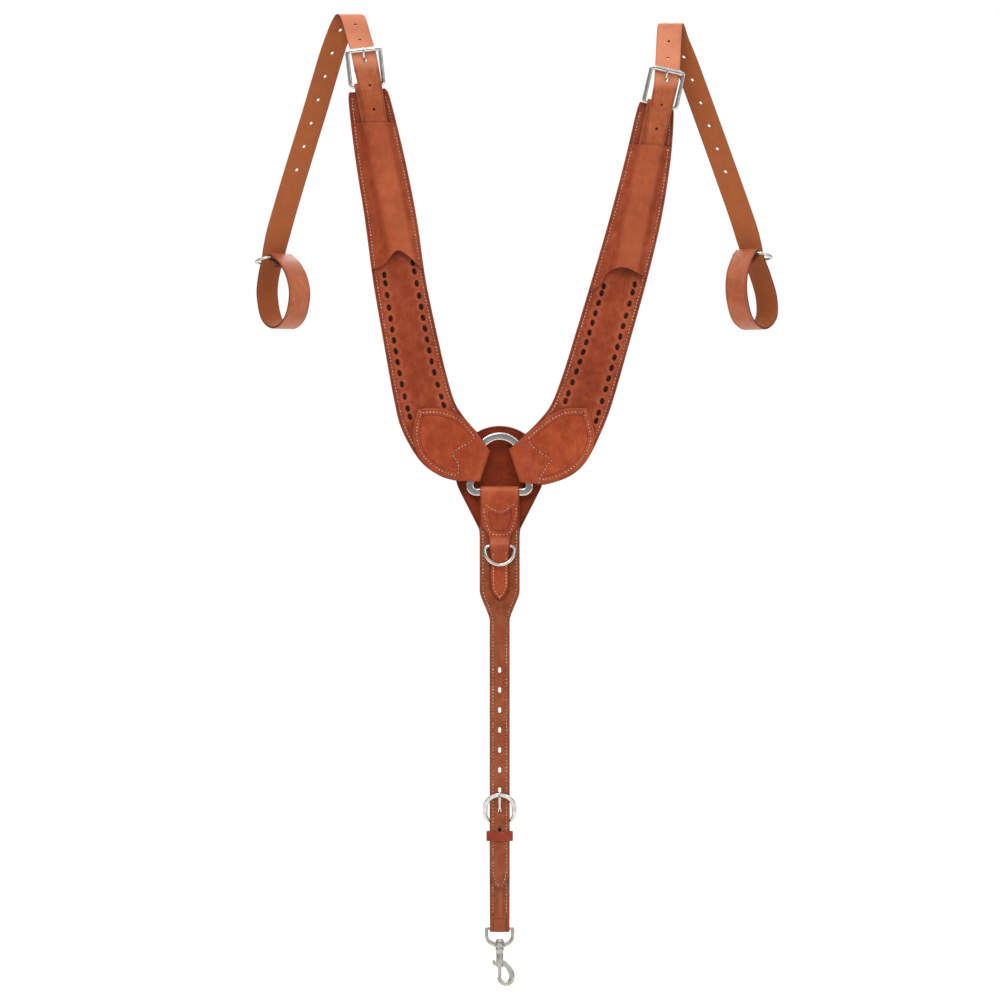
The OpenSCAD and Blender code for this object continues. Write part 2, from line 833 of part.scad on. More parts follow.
module buckle_frame(side) {
    half = frame_w / 2;
    color("silver")
        on_heel_bar(side, frame_lean(side))
            rotate([frame_pitch, 0, 0]) {
                rod([-half, 0, 0], [half, 0, 0], 2.2);
                for (s = [-1, 1])
                    bent_rod([[s * half, 0, 0], [s * half, 0, frame_len]], frame_wire_r);
                rod([-half, 0, frame_len], [half, 0, frame_len], 1.8);
            }
}

module buckle_roller(side) {
    roller_half = frame_w / 2 - frame_wire_r - 0.5;
    color("lightgray")
        on_heel_bar(side, frame_lean(side))
            rotate([frame_pitch, 0, 0])
                translate([-roller_half, 0, frame_len])
                    rotate([0, 90, 0])
                        difference() {
                            cylinder(h = 2 * roller_half, r = roller_r);
                            translate([0, 0, -1])
                                cylinder(h = 2 * roller_half + 2, r = 1.85);
                        }
}

module buckle_tongue(side) {
    tongue_tip_y = roller_y - heel_front_y - roller_r - 1.9;
    color("gainsboro")
        on_heel_bar(side, frame_lean(side))
            difference() {
                union() {
                    translate([-2.2, 0, 0])
                        rotate([0, 90, 0])
                            cylinder(h = 4.4, r = 3.7);
                    across(2.8)
                        strip_outline([[0, 3], [0.6, 24], [0.2, 28], [-2.4, 31.4],
                                       [-8.6, 33.4], [-12, 36.4],
                                       [tongue_tip_y, frame_len - 3],
                                       [tongue_tip_y, frame_len + 2]], 1.4);
                }
                translate([-10, 0, 0])
                    rotate([0, 90, 0])
                        cylinder(h = 20, r = 2.25);
            }
}

// ---------- tug straps and their rings ----------

// Unit vectors along the strap and across it at station i of a list of stations
function along(path, i) =
    let (a = path[max(i - 1, 0)], b = path[min(i + 1, len(path) - 1)])
    unit([b[0] - a[0], b[1] - a[1], b[2] - a[2]]);
function width_dir(path, i) =
    let (t = along(path, i), w = [cos(path[i][3]), sin(path[i][3]), 0])
    unit(w - (w * t) * t);

// Width of the strap at station i: the tail in the sleeve is tapered
function width_at(path, i, n) =
    i > roller_station * n ? tug_w
    : tug_tail_w + (tug_w - tug_tail_w)
      * min(1, max(0, (path[i][2] - tug_taper_to) / (tug_taper_from - tug_taper_to)));

// Four corners of the strap's section at station i
function station(path, i, n) =
    let (p = [path[i][0], path[i][1], path[i][2]], t = along(path, i),
         w = width_dir(path, i) * width_at(path, i, n) / 2,
         f = cross(t, width_dir(path, i)) * tug_t / 2)
    [p - w - f, p + w - f, p + w + f, p - w + f];

module ribbon(path, n) {
    last = len(path) - 1;
    polyhedron(
        points = [for (i = [0:last]) each station(path, i, n)],
        faces = concat(
            [[0, 1, 2, 3]],
            [for (i = [0:last - 1]) for (k = [0:3])
                let (a = 4 * i + k, b = 4 * i + (k + 1) % 4)
                each [[b, a, b + 4], [a, a + 4, b + 4]]],
            [[4 * last + 3, 4 * last + 2, 4 * last + 1, 4 * last]]));
}

// Holes of the tug strap that lie on its straight rear part, below the top fold
module tug_holes(side) {
    path = tug_path(side);
    top = [path[rear_top_station][0], path[rear_top_station][2]];
    low = [path[rear_low_station][0], path[rear_low_station][2]];
    step = 31.2 * unit(low - top);
    for (i = [0:5])
        translate([top[0] + i * step[0], 30, top[1] + i * step[1]])
            rotate([-90, 0, 0])
                cylinder(h = 22, r = tug_hole_r, $fn = 16);
}

// Hole that the buckle's tongue goes through
module tongue_hole(side) {
    on_heel_bar(side, frame_lean(side))
        translate([-2.6, -12, 28])
            cube([5.2, 16, 10]);
}

module tug_strap(side) {
    n = 3;
    color("peru")
        difference() {
            ribbon(smooth(tug_path(side), n), n);
            tug_holes(side);
            tongue_hole(side);
        }
}

module tug_ring(side) {
    straight = 26;
    round_r = 13;
    tilt = 15;
    color("silver")
        translate(tug_ring_at(side))
            rotate([0, 0, tug_ring_turn(side)])
                rotate([-tilt, 0, 0]) {
                    for (y = [0, 2 * round_r])
                        rod([-straight / 2, y, 0], [straight / 2, y, 0], tug_ring_wire_r);
                    for (s = [-1, 1])
                        translate([s * straight / 2, round_r, 0])
                            rotate([0, 0, -90 * s])
                                rotate_extrude(angle = 180, $fn = 72)
                                    translate([round_r, 0])
                                        circle(r = tug_ring_wire_r, $fn = 24);
                }
}

// ---------- nodes ----------

centre_ring();
ring_safe();
down_strap_front();
down_strap_lining();
ring_tab();
tie_dee();
down_buckle_frame();
down_buckle_tongue();
strap_keeper();
snap_strap();
snap_eye();
snap_swivel_stud();
snap_hook_body();
snap_bolt();
snap_spring();

body_front("left");  // left_body_front
body_lining("left");  // left_body_lining
sleeve("left");  // left_sleeve
shoulder_tab("left");  // left_shoulder_tab
lacing("left");  // left_lacing
buckle_chape("left");  // left_buckle_chape
buckle_frame("left");  // left_buckle_frame
buckle_roller("left");  // left_buckle_roller
buckle_tongue("left");  // left_buckle_tongue
tug_strap("left");  // left_tug_strap
tug_ring("left");  // left_tug_ring

body_front("right");  // right_body_front
body_lining("right");  // right_body_lining
sleeve("right");  // right_sleeve
shoulder_tab("right");  // right_shoulder_tab
lacing("right");  // right_lacing
buckle_chape("right");  // right_buckle_chape
buckle_frame("right");  // right_buckle_frame
buckle_roller("right");  // right_buckle_roller
buckle_tongue("right");  // right_buckle_tongue
tug_strap("right");  // right_tug_strap
tug_ring("right");  // right_tug_ring
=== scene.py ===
import json
import math

import bmesh
import bpy
import numpy as np
from mathutils.geometry import delaunay_2d_cdt
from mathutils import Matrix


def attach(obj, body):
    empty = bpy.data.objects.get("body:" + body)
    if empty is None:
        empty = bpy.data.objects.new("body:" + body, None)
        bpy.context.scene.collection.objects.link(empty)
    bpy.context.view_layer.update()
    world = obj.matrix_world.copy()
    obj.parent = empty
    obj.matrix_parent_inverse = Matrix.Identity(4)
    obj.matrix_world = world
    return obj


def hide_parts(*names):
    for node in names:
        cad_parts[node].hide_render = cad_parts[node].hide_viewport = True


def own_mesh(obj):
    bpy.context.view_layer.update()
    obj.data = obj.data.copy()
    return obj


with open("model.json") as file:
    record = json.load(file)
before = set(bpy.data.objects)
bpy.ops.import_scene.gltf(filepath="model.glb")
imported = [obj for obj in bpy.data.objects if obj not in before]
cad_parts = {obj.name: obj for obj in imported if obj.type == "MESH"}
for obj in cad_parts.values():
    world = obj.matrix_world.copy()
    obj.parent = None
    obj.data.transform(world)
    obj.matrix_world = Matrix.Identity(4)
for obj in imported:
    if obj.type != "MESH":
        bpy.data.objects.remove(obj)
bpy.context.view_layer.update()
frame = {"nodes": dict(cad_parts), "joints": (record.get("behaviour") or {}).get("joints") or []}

JOINTS = {joint["name"]: joint for joint in frame["joints"]}
SIDES = ("left", "right")
MM = 0.001

# Leather: layer thicknesses, and where creases and seams run in from an edge
BODY_T = 3.2
DOWN_T = 2.8
OVERLAY_T = 2.4
TUG_T = 3.0
SAFE_T = 3.0
EDGE_R = 0.75
SEAM_IN = 4.8
DOWN_SEAM_IN = 4.2
CREASE_IN = 2.3
TAB_SEAM_IN = 5.6
TAB_CREASE_IN = 9.6

# Thread stitches: spacing, length, half sizes of the thread and how far its middle stands up
STITCH_PITCH = 4.3
STITCH_L = 2.9
STITCH_HALF_W = 0.62
STITCH_HALF_H = 0.5
STITCH_RISE = 0.3

# Pressed grooves, rounded rims of punched holes, and the room left beside them on a pattern
GROOVE_HALF_W = 0.9
HOLE_RIM = 0.35
HOLE_DIP = 0.4
HOLE_END_POINTS = 9
RING_GAP = 0.8

# Sleeve: leather thickness, height of its top over the shoulder, and widths of top and slopes
SLEEVE_T = 2.6
SLEEVE_RISE = 8.7
SLEEVE_TOP_HALF_W = 11.0
SLEEVE_SLOPE_W = 12.5

# Metal: sides of every turned part, points round a bent corner, and the snap's depth and the
# height its hook turns at
TURNED_SIDES = 40
CORNER_POINTS = 7
SNAP_Y = 5.5
SWIVEL_Z = -615

# Down strap: holes and the places of its hardware
HOLE_PITCH = 25.4
FIRST_HOLE_Z = -261.6
HOLE_COUNT = 9
TONGUE_HOLE = 7
KEEPER_Z = -472.5

# Tug straps: x, y, z and the turn of the strap's width about the vertical
TUG_PATHS = {
    "left": [
        (-132, -10.6, 300, 0), (-142, -10.6, 350, 0), (-152, -10.6, 404, 0),
        (-159, -11.2, 448, 0), (-163.5, -14.6, 474, 0), (-166, -14.7, 488, 0),
        (-168.5, -13.5, 500, 0), (-170.5, -12.2, 511, 0), (-173.5, -11, 525, 0),
        (-178, 0, 539, 0), (-184, 17, 560, 0), (-188, 26, 570.5, 0), (-193, 33, 573.5, 0),
        (-198, 39, 568, 0), (-203.5, 41, 556, 0), (-215.5, 41, 522, 0), (-237.5, 41, 448, 0),
        (-260.5, 41, 373, 0), (-278.5, 41.5, 312, 6), (-286.5, 43, 281, 22), (-290.5, 45, 262, 33),
        (-296, 52, 240, 37), (-298, 56.5, 216, 37), (-291.6, 48, 186, 37),
        (-276, 27, 174, 37), (-260.4, 6, 186, 37), (-254, -2.5, 214, 37),
        (-258, 3, 238, 37), (-267, 15, 255, 37), (-277, 28.6, 265, 37),
        (-280, 33, 267.5, 37), (-283, 36.6, 264, 37), (-281, 34, 259, 37),
        (-275, 26, 252, 37)],
    "right": [
        (170, -10.6, 290, 0), (180.5, -10.6, 340, 0), (191, -10.6, 388, 0),
        (199, -11.2, 425, 0), (204, -14.6, 449, 0), (207, -14.7, 463, 0),
        (209.5, -13.5, 475, 0), (211.5, -12.2, 486, 0), (212.5, -11, 500, 0),
        (214, 0, 518, 0), (215.5, 16, 541, 0), (217, 26, 557, 0), (219, 33, 562, 0),
        (222, 39, 556, 0), (226, 41, 544, 0), (237, 41, 517, 0), (263, 41, 446, 0),
        (291, 41, 368, 0), (311, 41.5, 311, -6), (319, 43, 284, -22), (324, 45, 266, -32),
        (334, 52, 241, -36), (342, 56.5, 213, -36), (341, 49, 187, -36),
        (326, 28, 173, -36), (309, 5, 184, -36), (301, -5, 212, -36),
        (301, -3, 238, -36), (306, 8, 256, -36), (312.5, 22, 269, -36),
        (316, 29, 273, -36), (319, 34, 270, -36), (317, 31.5, 264.5, -36),
        (311, 24, 257, -36)],
}
TUG_STEPS = 12
TUG_W = 31.75
TUG_TAIL_W = 22.0
TUG_HOLE_PITCH = 31.2
ROLLER_STATION = 8
REAR_TOP_STATION = 15
REAR_LOW_STATION = 17
SLEEVE_LEAN = {"left": -11.5, "right": 11.5}

# Shoulder tabs in x and z: edges of the leaf from its tip to the fold, and the seam across it
TAB_UPPER = {
    "left": [(-104, 70), (-85, 71.5), (-67, 69), (-53, 63), (-46, 59), (-29, 40), (-13, 17)],
    "right": [(111, 71), (90, 71.5), (78, 69), (64, 62), (50, 52), (26, 31), (15, 21)],
}
TAB_LOWER = {
    "left": [(-109, 54), (-111, 41), (-110, 29), (-104, 11), (-94, -1), (-78, -13), (-57, -20),
             (-40, -22), (-24, -22)],
    "right": [(117, 56), (120, 42), (121, 30), (115, 12), (100, -6), (79, -19), (59, -25),
              (42, -25), (26, -23)],
}
TAB_VEE = {
    "left": [(-31, 34), (-39, 27), (-48, 22), (-56, 17), (-59, 11), (-55, 5), (-52, -2), (-53, -10),
             (-53, -18)],
    "right": [(36, 29), (42, 22), (52, 14), (62, 8), (65, 4), (60, -2), (58, -7), (52, -16),
              (49, -25)],
}


# ---------- small geometry helpers ----------

def unit(vectors):
    """Vectors of length one, along the last axis."""
    return vectors / np.maximum(np.linalg.norm(vectors, axis=-1, keepdims=True), 1e-9)


def catmull(points, steps):
    """The smooth curve through the points, with that many steps from each point to the next."""
    pts = np.asarray(points, float)
    out = []
    for i in range(len(pts) - 1):
        p0, p1 = pts[max(i - 1, 0)], pts[i]
        p2, p3 = pts[i + 1], pts[min(i + 2, len(pts) - 1)]
        for t in np.arange(steps) / steps:
            out.append(0.5 * (2 * p1 + t * (p2 - p0) + t * t * (2 * p0 - 5 * p1 + 4 * p2 - p3)
                              + t ** 3 * (3 * p1 - p0 - 3 * p2 + p3)))
    out.append(pts[-1])
    return np.array(out)


def lengths(points):
    """Distance along a line of points, from its start to each point."""
    return np.concatenate([[0], np.cumsum(np.linalg.norm(np.diff(points, axis=0), axis=1))])


def at_length(points, distances):
    """Points at those distances along a line of points."""
    s = lengths(points)
    return np.stack([np.interp(distances, s, points[:, k]) for k in range(points.shape[1])], 1)


def evenly(points, step):
    """A line of points again, with even spacing of about one step."""
    total = lengths(points)[-1]
    count = max(2, int(round(total / step)) + 1)
    return at_length(points, np.linspace(0, total, count))


def closed_up(loop):
    """A loop's points with the first one again at the end."""
    return np.concatenate([loop, loop[:1]])


def anticlockwise(loop):
    """A flat loop turned round if it runs clockwise."""
    return loop if area(loop) > 0 else loop[::-1]


def mirrored(points):
    """Flat points on the other side of x = 0, in the opposite order."""
    return (points * (-1, 1))[::-1]


def tapering(points, places, values):
    """Values for each of some points, given at parts of the way from the first to the last."""
    return np.interp(np.linspace(0, 1, len(points)), places, values)


def evenly_closed(loop, step):
    """A closed loop's points again, with even spacing of about one step."""
    return evenly(closed_up(loop), step)[:-1]


def facing(points, y=0.0):
    """Points of x and z, as seen from the front, at depth y."""
    x, z = np.asarray(points, float).T
    return np.column_stack([x, np.full(len(x), y), z])


def side_on(points):
    """Points of y and z, as seen from the side, in the plane x = 0."""
    return np.column_stack([np.zeros(len(points)), points])


def pivot(joint):
    """Where a joint turns, in mm."""
    return np.array(JOINTS[joint]["pos_m"]) / MM


def area(loop):
    """Signed area of a flat loop: positive if it runs anticlockwise."""
    x, y = loop[:, 0], loop[:, 1]
    return 0.5 * np.sum(x * np.roll(y, -1) - np.roll(x, -1) * y)


def smooth_loop(loop, step, corner=28):
    """A closed loop again at an even spacing, smooth between its sharp corners."""
    before = unit(loop - np.roll(loop, 1, 0))
    after = unit(np.roll(loop, -1, 0) - loop)
    turn = np.degrees(np.arccos(np.clip(np.sum(before * after, 1), -1, 1)))
    sharp = [i for i in range(len(loop)) if turn[i] > corner]
    if not sharp:
        sharp = [0]
    out = []
    for k, start in enumerate(sharp):
        stop = sharp[(k + 1) % len(sharp)]
        stop += len(loop) if stop <= start else 0
        stretch = loop[[i % len(loop) for i in range(start, stop + 1)]]
        out.append(evenly(catmull(evenly(stretch, 1.5 * step), 4), step)[:-1])
    return np.concatenate(out)


def line_distance(points, line):
    """Distance from each point to an open line."""
    a, d = line[:-1], np.diff(line, axis=0)
    rel = points[:, None, :] - a[None]
    t = np.clip(np.sum(rel * d, 2) / np.maximum(np.sum(d * d, 1), 1e-9), 0, 1)
    return np.linalg.norm(rel - t[..., None] * d, axis=2).min(axis=1)


def distance_to(loop, points):
    """Distance from each point to a closed loop's nearest edge."""
    return line_distance(points, closed_up(loop))


def inside(loop, points):
    """Whether each point lies inside a closed loop."""
    x, y = points[:, 0:1], points[:, 1:2]
    x1, y1 = loop[None, :, 0], loop[None, :, 1]
    x2, y2 = np.roll(loop[:, 0], -1)[None], np.roll(loop[:, 1], -1)[None]
    spans = (y1 > y) != (y2 > y)
    cross_x = x1 + (y - y1) * (x2 - x1) / np.where(y2 == y1, 1e-9, y2 - y1)
    return (np.sum(spans & (x < cross_x), axis=1) % 2).astype(bool)


def inward(loop):
    """Each corner's direction into an anticlockwise loop, long enough to keep edges parallel."""
    before = unit(loop - np.roll(loop, 1, 0))
    after = unit(np.roll(loop, -1, 0) - loop)
    n1 = np.stack([-before[:, 1], before[:, 0]], 1)
    n2 = np.stack([-after[:, 1], after[:, 0]], 1)
    return (n1 + n2) / np.maximum(1 + np.sum(n1 * n2, 1), 0.5)[:, None]


def reach(loop, normals, most):
    """How far each corner can move inward before it nears another edge."""
    room = np.full(len(loop), 0.0)
    going = np.full(len(loop), True)
    for d in np.arange(0.5, most + 0.5, 0.5):
        going &= distance_to(loop, loop + normals * d) > 0.93 * d
        room[going] = d
    return room


# ---------- meshes ----------

def new_piece(name, verts, faces, material, body, attributes=None):
    """A mesh piece in metres that rides on a body and replaces the CAD node of its own name."""
    mesh = bpy.data.meshes.new(name)
    mesh.from_pydata((np.asarray(verts) * MM).tolist(), [], faces)
    for key, values in (attributes or {}).items():
        layer = mesh.attributes.new(key, "FLOAT", "POINT")
        layer.data.foreach_set("value", np.asarray(values, np.float32))
    work = bmesh.new()
    work.from_mesh(mesh)
    bmesh.ops.remove_doubles(work, verts=work.verts, dist=1e-7)
    bmesh.ops.recalc_face_normals(work, faces=work.faces)
    work.to_mesh(mesh)
    work.free()
    mesh.materials.append(material)
    mesh.shade_smooth()
    piece = bpy.data.objects.new(name, mesh)
    bpy.context.scene.collection.objects.link(piece)
    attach(piece, body)
    if name in frame["nodes"]:
        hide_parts(name)
    return piece


def silhouette(node):
    """Outline of a CAD node's front skin, seen along +Y, as x and z in mm, anticlockwise."""
    source = frame["nodes"][node]
    mesh = source.data
    mesh.calc_loop_triangles()
    world = np.array([source.matrix_world @ v.co for v in mesh.vertices]) / MM
    keys = {}
    index = [keys.setdefault(tuple(np.round(p, 2)), len(keys)) for p in world]
    spots = np.array(list(keys))
    triangles = []
    for tri in mesh.loop_triangles:
        ids = [index[v] for v in tri.vertices]
        a, b, c = spots[ids]
        normal = unit(np.cross(b - a, c - a))
        if len(set(ids)) == 3 and normal[1] < -0.03:
            triangles.append(ids)
    edges = {}
    for ids in triangles:
        for a, b in zip(ids, ids[1:] + ids[:1]):
            edges[(a, b)] = True
    follow = {}
    for a, b in edges:
        if (b, a) not in edges:
            follow[a] = b
    loops = []
    while follow:
        start, here = next(iter(follow.items()))
        del follow[start]
        loop = [start]
        while here != start and here in follow:
            loop.append(here)
            here = follow.pop(here)
        loops.append(spots[loop])
    large = [loop for loop in loops if abs(area(loop[:, [0, 2]])) > 200]
    flat = min(large, key=lambda loop: loop[:, 1].min())[:, [0, 2]]
    return anticlockwise(flat)


class Ribbon:
    """A strap bent in space: maps (across, along, out) on the flat strap to x, y, z.

    A level ribbon keeps its across direction as given, so that its folds stay straight."""

    def __init__(self, centre, across, level=False):
        self.centre = np.asarray(centre, float)
        self.s = lengths(self.centre)
        tangent = unit(np.gradient(self.centre, self.s, axis=0))
        self.across = np.broadcast_to(np.asarray(across, float), self.centre.shape)
        if not level:
            along = np.sum(self.across * tangent, 1)[:, None]
            self.across = unit(self.across - along * tangent)
        self.out = unit(np.cross(tangent, self.across))

    def at(self, values, s):
        """One of the strap's rows of vectors, at distances along it."""
        return np.stack([np.interp(s, self.s, values[:, k]) for k in range(3)], 1)

    def __call__(self, flat):
        s = flat[:, 1]
        return (self.at(self.centre, s) + self.at(self.across, s) * flat[:, 0:1]
                + self.at(self.out, s) * flat[:, 2:3])


def band(first, second):
    """Four-sided faces between two closed rings of vertex numbers."""
    return np.stack([first, np.roll(first, -1), np.roll(second, -1), second], 1).tolist()


def bar_faces(count, sides, closed=False, start=0):
    """Faces of a bar made of rings of vertices, with flat ends unless it is closed on itself."""
    rings = start + np.arange(count * sides).reshape(count, sides)
    faces = []
    for k in range(count if closed else count - 1):
        faces += band(rings[k], rings[(k + 1) % count])
    if not closed:
        faces += [rings[0, ::-1].tolist(), rings[-1].tolist()]
    return faces


def strands(count, rings, sides):
    """Faces of that many separate bars, one after another."""
    return [face for k in range(count) for face in bar_faces(rings, sides, start=k * rings * sides)]


def fill_pattern(inner, rims, grid):
    """Triangles within a loop and outside its holes' rims, with a grid's points as corners.

    Returns the points, the triangles, and the point numbers of the loop and of each rim."""
    parts = [inner, grid, *rims]
    starts = np.cumsum([0] + [len(part) for part in parts])
    rings = list(zip([0, *starts[2:]], [inner, *rims]))
    edges = []
    for start, ring in rings:
        edges += [(start + i, start + (i + 1) % len(ring)) for i in range(len(ring))]
    found = delaunay_2d_cdt([tuple(spot) for spot in np.concatenate(parts)], edges, [], 0, 1e-5)
    points = np.array([tuple(spot) for spot in found[0]])
    triangles = np.array([face for face in found[2] if len(face) == 3])
    middles = points[triangles].mean(axis=1)
    kept = inside(inner, middles)
    for rim in rims:
        kept &= ~inside(rim, middles)
    number = {}
    for new, old in enumerate(found[3]):
        if old:
            number.setdefault(old[0], new)
    numbers = [np.array([number[start + i] for i in range(len(ring))]) for start, ring in rings]
    return points, triangles[kept], numbers


def pattern_grid(loop, inner, rims, spacing, lines):
    """Points spread over a pattern's inner loop, clear of its holes, in rows on the lines if given."""
    low, high = loop.min(axis=0), loop.max(axis=0)
    columns = np.arange(low[0] + spacing / 2, high[0], spacing)
    rows = np.arange(low[1] + spacing / 2, high[1], spacing) if lines is None else lines
    grid = np.stack(np.meshgrid(columns, rows), -1).reshape(-1, 2)
    keep = inside(inner, grid) & (distance_to(inner, grid) > 0.45 * min(spacing, 4))
    for rim in rims:
        keep &= ~inside(rim, grid) & (distance_to(rim, grid) > RING_GAP)
    return grid[keep]


def edge_profile(edge, grooves):
    """Rings from a piece's edge inward: offset, rounding, groove depth and how burnished it is."""
    rounding = [(0, edge, 0, 1.0), (0.3 * edge, 0.3 * edge, 0, 0.5), (edge, 0, 0, 0.1)]
    return rounding + [(where + step * GROOVE_HALF_W, 0, (step == 0) * depth, 0)
                       for where, depth in grooves for step in (-1, 0, 1)]


def sheet_faces(rings, rims, walls, triangles, count):
    """Faces of a sheet's front, back and edges, from the numbers of its front's vertices.

    rings run from the outline to the filled middle, rims are the middle's own rings round the
    holes and walls the holes' edges. The back's numbers are higher by count."""
    front = []
    for first, second in [*zip(rings, rings[1:]), *zip(rims, walls)]:
        front += band(first, second)
    front += triangles.tolist()
    back = [[corner + count for corner in reversed(face)] for face in front]
    here, ahead = rings[0], np.roll(rings[0], -1)
    edges = np.stack([here, here + count, ahead + count, ahead], 1).tolist()
    for wall in walls:
        edges += band(wall, wall + count)
    return [face for face in front + back + edges if len(set(face)) == len(face)]


def leather(name, outline, place, thick, body, material, holes=(), spacing=6.0, lines=None,
            grooves=((CREASE_IN, 0.35),), grooved=None, relief=None, edge=EDGE_R):
    """A cut-out piece of leather with rounded edges, pressed grooves and punched holes.

    outline and holes are loops on the flat pattern; place bends the pattern into space.
    lines are the distances along the pattern at which it may bend, grooved says at which points of
    the outline the grooves are pressed, and relief gives, for points of the pattern, how far the
    grain side stands up, its painted shade and tooled marks, and its painted highlight and rubbing."""
    loop = anticlockwise(outline)
    holes = [anticlockwise(hole) for hole in holes]
    rims = [hole - inward(hole) * HOLE_RIM for hole in holes]
    profile = edge_profile(edge, grooves)
    offsets = [ring[0] for ring in profile] + [profile[-1][0] + RING_GAP]
    normals = inward(loop)
    room = reach(loop, normals, offsets[-1])
    rings = [loop + normals * np.minimum(offset, room)[:, None] for offset in offsets]
    pressed = np.ones(len(loop)) if grooved is None else grooved(loop).astype(float)
    grid = pattern_grid(loop, rings[-1], rims, spacing, lines)
    points, triangles, numbers = fill_pattern(rings[-1], rims, grid)

    # One row for each point: x, y, height of the grain side and the flesh side, groove (painted shade),
    # rim
    def rows_of(flat, *values):
        return np.column_stack([flat] + [np.broadcast_to(value, len(flat)) for value in values])

    half = thick / 2
    parts = [rows_of(ring, half - dip - depth * pressed, dip - half, (depth > 0) * pressed, rim)
             for ring, (_, dip, depth, rim) in zip(rings, profile)]
    parts.append(rows_of(points, half, -half, 0, 0))
    parts += [rows_of(hole, half - HOLE_DIP, HOLE_DIP - half, 0, 1) for hole in holes]
    table = np.concatenate(parts)
    count = len(table)
    highlight_and_wear = np.zeros(count)
    if relief is not None:
        # relief lifts the grain side, adds painted shade in grooves and recesses, and gives the painted
        # highlights and rubbing that lighten it.
        raised, darker, highlight_and_wear = relief(table[:, :2])
        table[:, 2] += raised
        table[:, 4] = np.maximum(table[:, 4], darker)
    verts = place(np.concatenate([table[:, [0, 1, 2]], table[:, [0, 1, 3]]]))

    # Numbers of each part's vertices: the profile's rings, the filled middle, the holes' edges
    starts = np.cumsum([0] + [len(part) for part in parts])
    spans = [np.arange(start, stop) for start, stop in zip(starts, starts[1:])]
    filled = starts[len(profile)]
    outer, *inner = [filled + ring for ring in numbers]
    faces = sheet_faces([*spans[:len(profile)], outer], inner, spans[len(profile) + 1:],
                        filled + triangles, count)
    attributes = {
        "groove": np.concatenate([table[:, 4], np.zeros(count)]),
        "highlight_and_wear": np.concatenate([highlight_and_wear, np.zeros(count)]),
        "rim": np.tile(table[:, 5], 2),
        "flesh": np.repeat([0.0, 1.0], count),
    }
    return new_piece(name, verts, faces, material, body, attributes)


def stitches(name, path, place, height, body, where=None):
    """A row of separate stitches along a line on the flat pattern, each sunk at both ends."""
    total = lengths(path)[-1]
    count = max(1, int(total / STITCH_PITCH))
    starts = (np.arange(count) + 0.5) * total / count - STITCH_L / 2
    if where is not None:
        starts = starts[where(at_length(path, starts + STITCH_L / 2))]
        count = len(starts)
    steps = np.linspace(0, 1, 6)
    shape = np.sqrt(np.clip(1 - (2 * steps - 1) ** 2 * 0.92, 0, 1))
    sides = 8
    turn = np.arange(sides) / sides * 2 * math.pi
    s = starts[:, None] + STITCH_L * steps[None]
    near = 0.3
    middle, ahead, behind = [at_length(path, (s + shift).ravel()).reshape(count, len(steps), 2)
                             for shift in (0, near, -near)]
    along = unit(ahead - behind)
    side = np.stack([-along[..., 1], along[..., 0]], -1)
    lift = height + STITCH_RISE * (shape - 0.75)
    width = STITCH_HALF_W * (0.45 + 0.55 * shape)
    tall = STITCH_HALF_H * (0.4 + 0.6 * shape)
    flat = np.zeros((count, len(steps), sides, 3))
    flat[..., :2] = (middle[:, :, None, :]
                     + side[:, :, None, :] * (width[None, :, None] * np.cos(turn))[..., None])
    flat[..., 2] = lift[None, :, None] + tall[None, :, None] * np.sin(turn)
    faces = strands(count, len(steps), sides)
    return new_piece(name, place(flat.reshape(-1, 3)), faces, THREAD, body)


def tube(name, path, widths, material, body, up, closed=False, heights=None, sides=20,
         power=2.0, dish=0.0):
    """A bar of rounded section along a path: widths lie across up, heights along it.

    power above 2 squares the section, and dish hollows its broad faces along the middle."""
    path = np.asarray(path, float)
    count = len(path)
    widths = np.broadcast_to(np.asarray(widths, float), count)
    heights = widths if heights is None else np.broadcast_to(np.asarray(heights, float), count)
    if closed:
        tangent = unit(np.roll(path, -1, 0) - np.roll(path, 1, 0))
    else:
        tangent = unit(np.gradient(path, axis=0))
    across = unit(np.cross(tangent, np.broadcast_to(np.asarray(up, float), path.shape)))
    top = np.cross(across, tangent)
    turn = np.arange(sides) / sides * 2 * math.pi
    c, s = np.cos(turn), np.sin(turn)
    c = np.sign(c) * np.abs(c) ** (2 / power)
    s = np.sign(s) * np.abs(s) ** (2 / power) * (1 - dish * np.exp(-(c / 0.45) ** 2))
    verts = (path[:, None] + across[:, None] * (widths[:, None] * c)[..., None]
             + top[:, None] * (heights[:, None] * s)[..., None]).reshape(-1, 3)
    return new_piece(name, verts, bar_faces(count, sides, closed), material, body)


def turned(name, profile, origin, axis, material, body, closed=False):
    """A turned part: a profile of radius and height spun round an axis."""
    profile = np.asarray(profile, float)
    axis = unit(np.asarray(axis, float))
    side = unit(np.cross(axis, (0.31, 0.92, 0.2)))
    other = np.cross(axis, side)
    turn = np.arange(TURNED_SIDES) / TURNED_SIDES * 2 * math.pi
    ring = side * np.cos(turn)[:, None] + other * np.sin(turn)[:, None]
    verts = (np.asarray(origin, float) + ring[None] * profile[:, 0][:, None, None]
             + axis * profile[:, 1][:, None, None]).reshape(-1, 3)
    faces = bar_faces(len(profile), TURNED_SIDES, closed)
    return new_piece(name, verts, faces, material, body)


def arc(centre, radius, start, stop, count=12):
    """Points along an arc in two dimensions, angles in degrees."""
    angles = np.radians(np.linspace(start, stop, count))
    return np.stack([centre[0] + radius * np.cos(angles), centre[1] + radius * np.sin(angles)], 1)


def slot_loop(centre, width, length):
    """Outline of a punched hole with round ends; round if its length is its width."""
    r = width / 2
    straight = length / 2 - r
    top = arc((centre[0], centre[1] + straight), r, 0, 180, HOLE_END_POINTS)
    low = arc((centre[0], centre[1] - straight), r, 180, 360, HOLE_END_POINTS)
    loop = np.concatenate([top, low])
    return loop[np.linalg.norm(loop - np.roll(loop, 1, 0), axis=1) > 1e-6]


# ---------- materials ----------

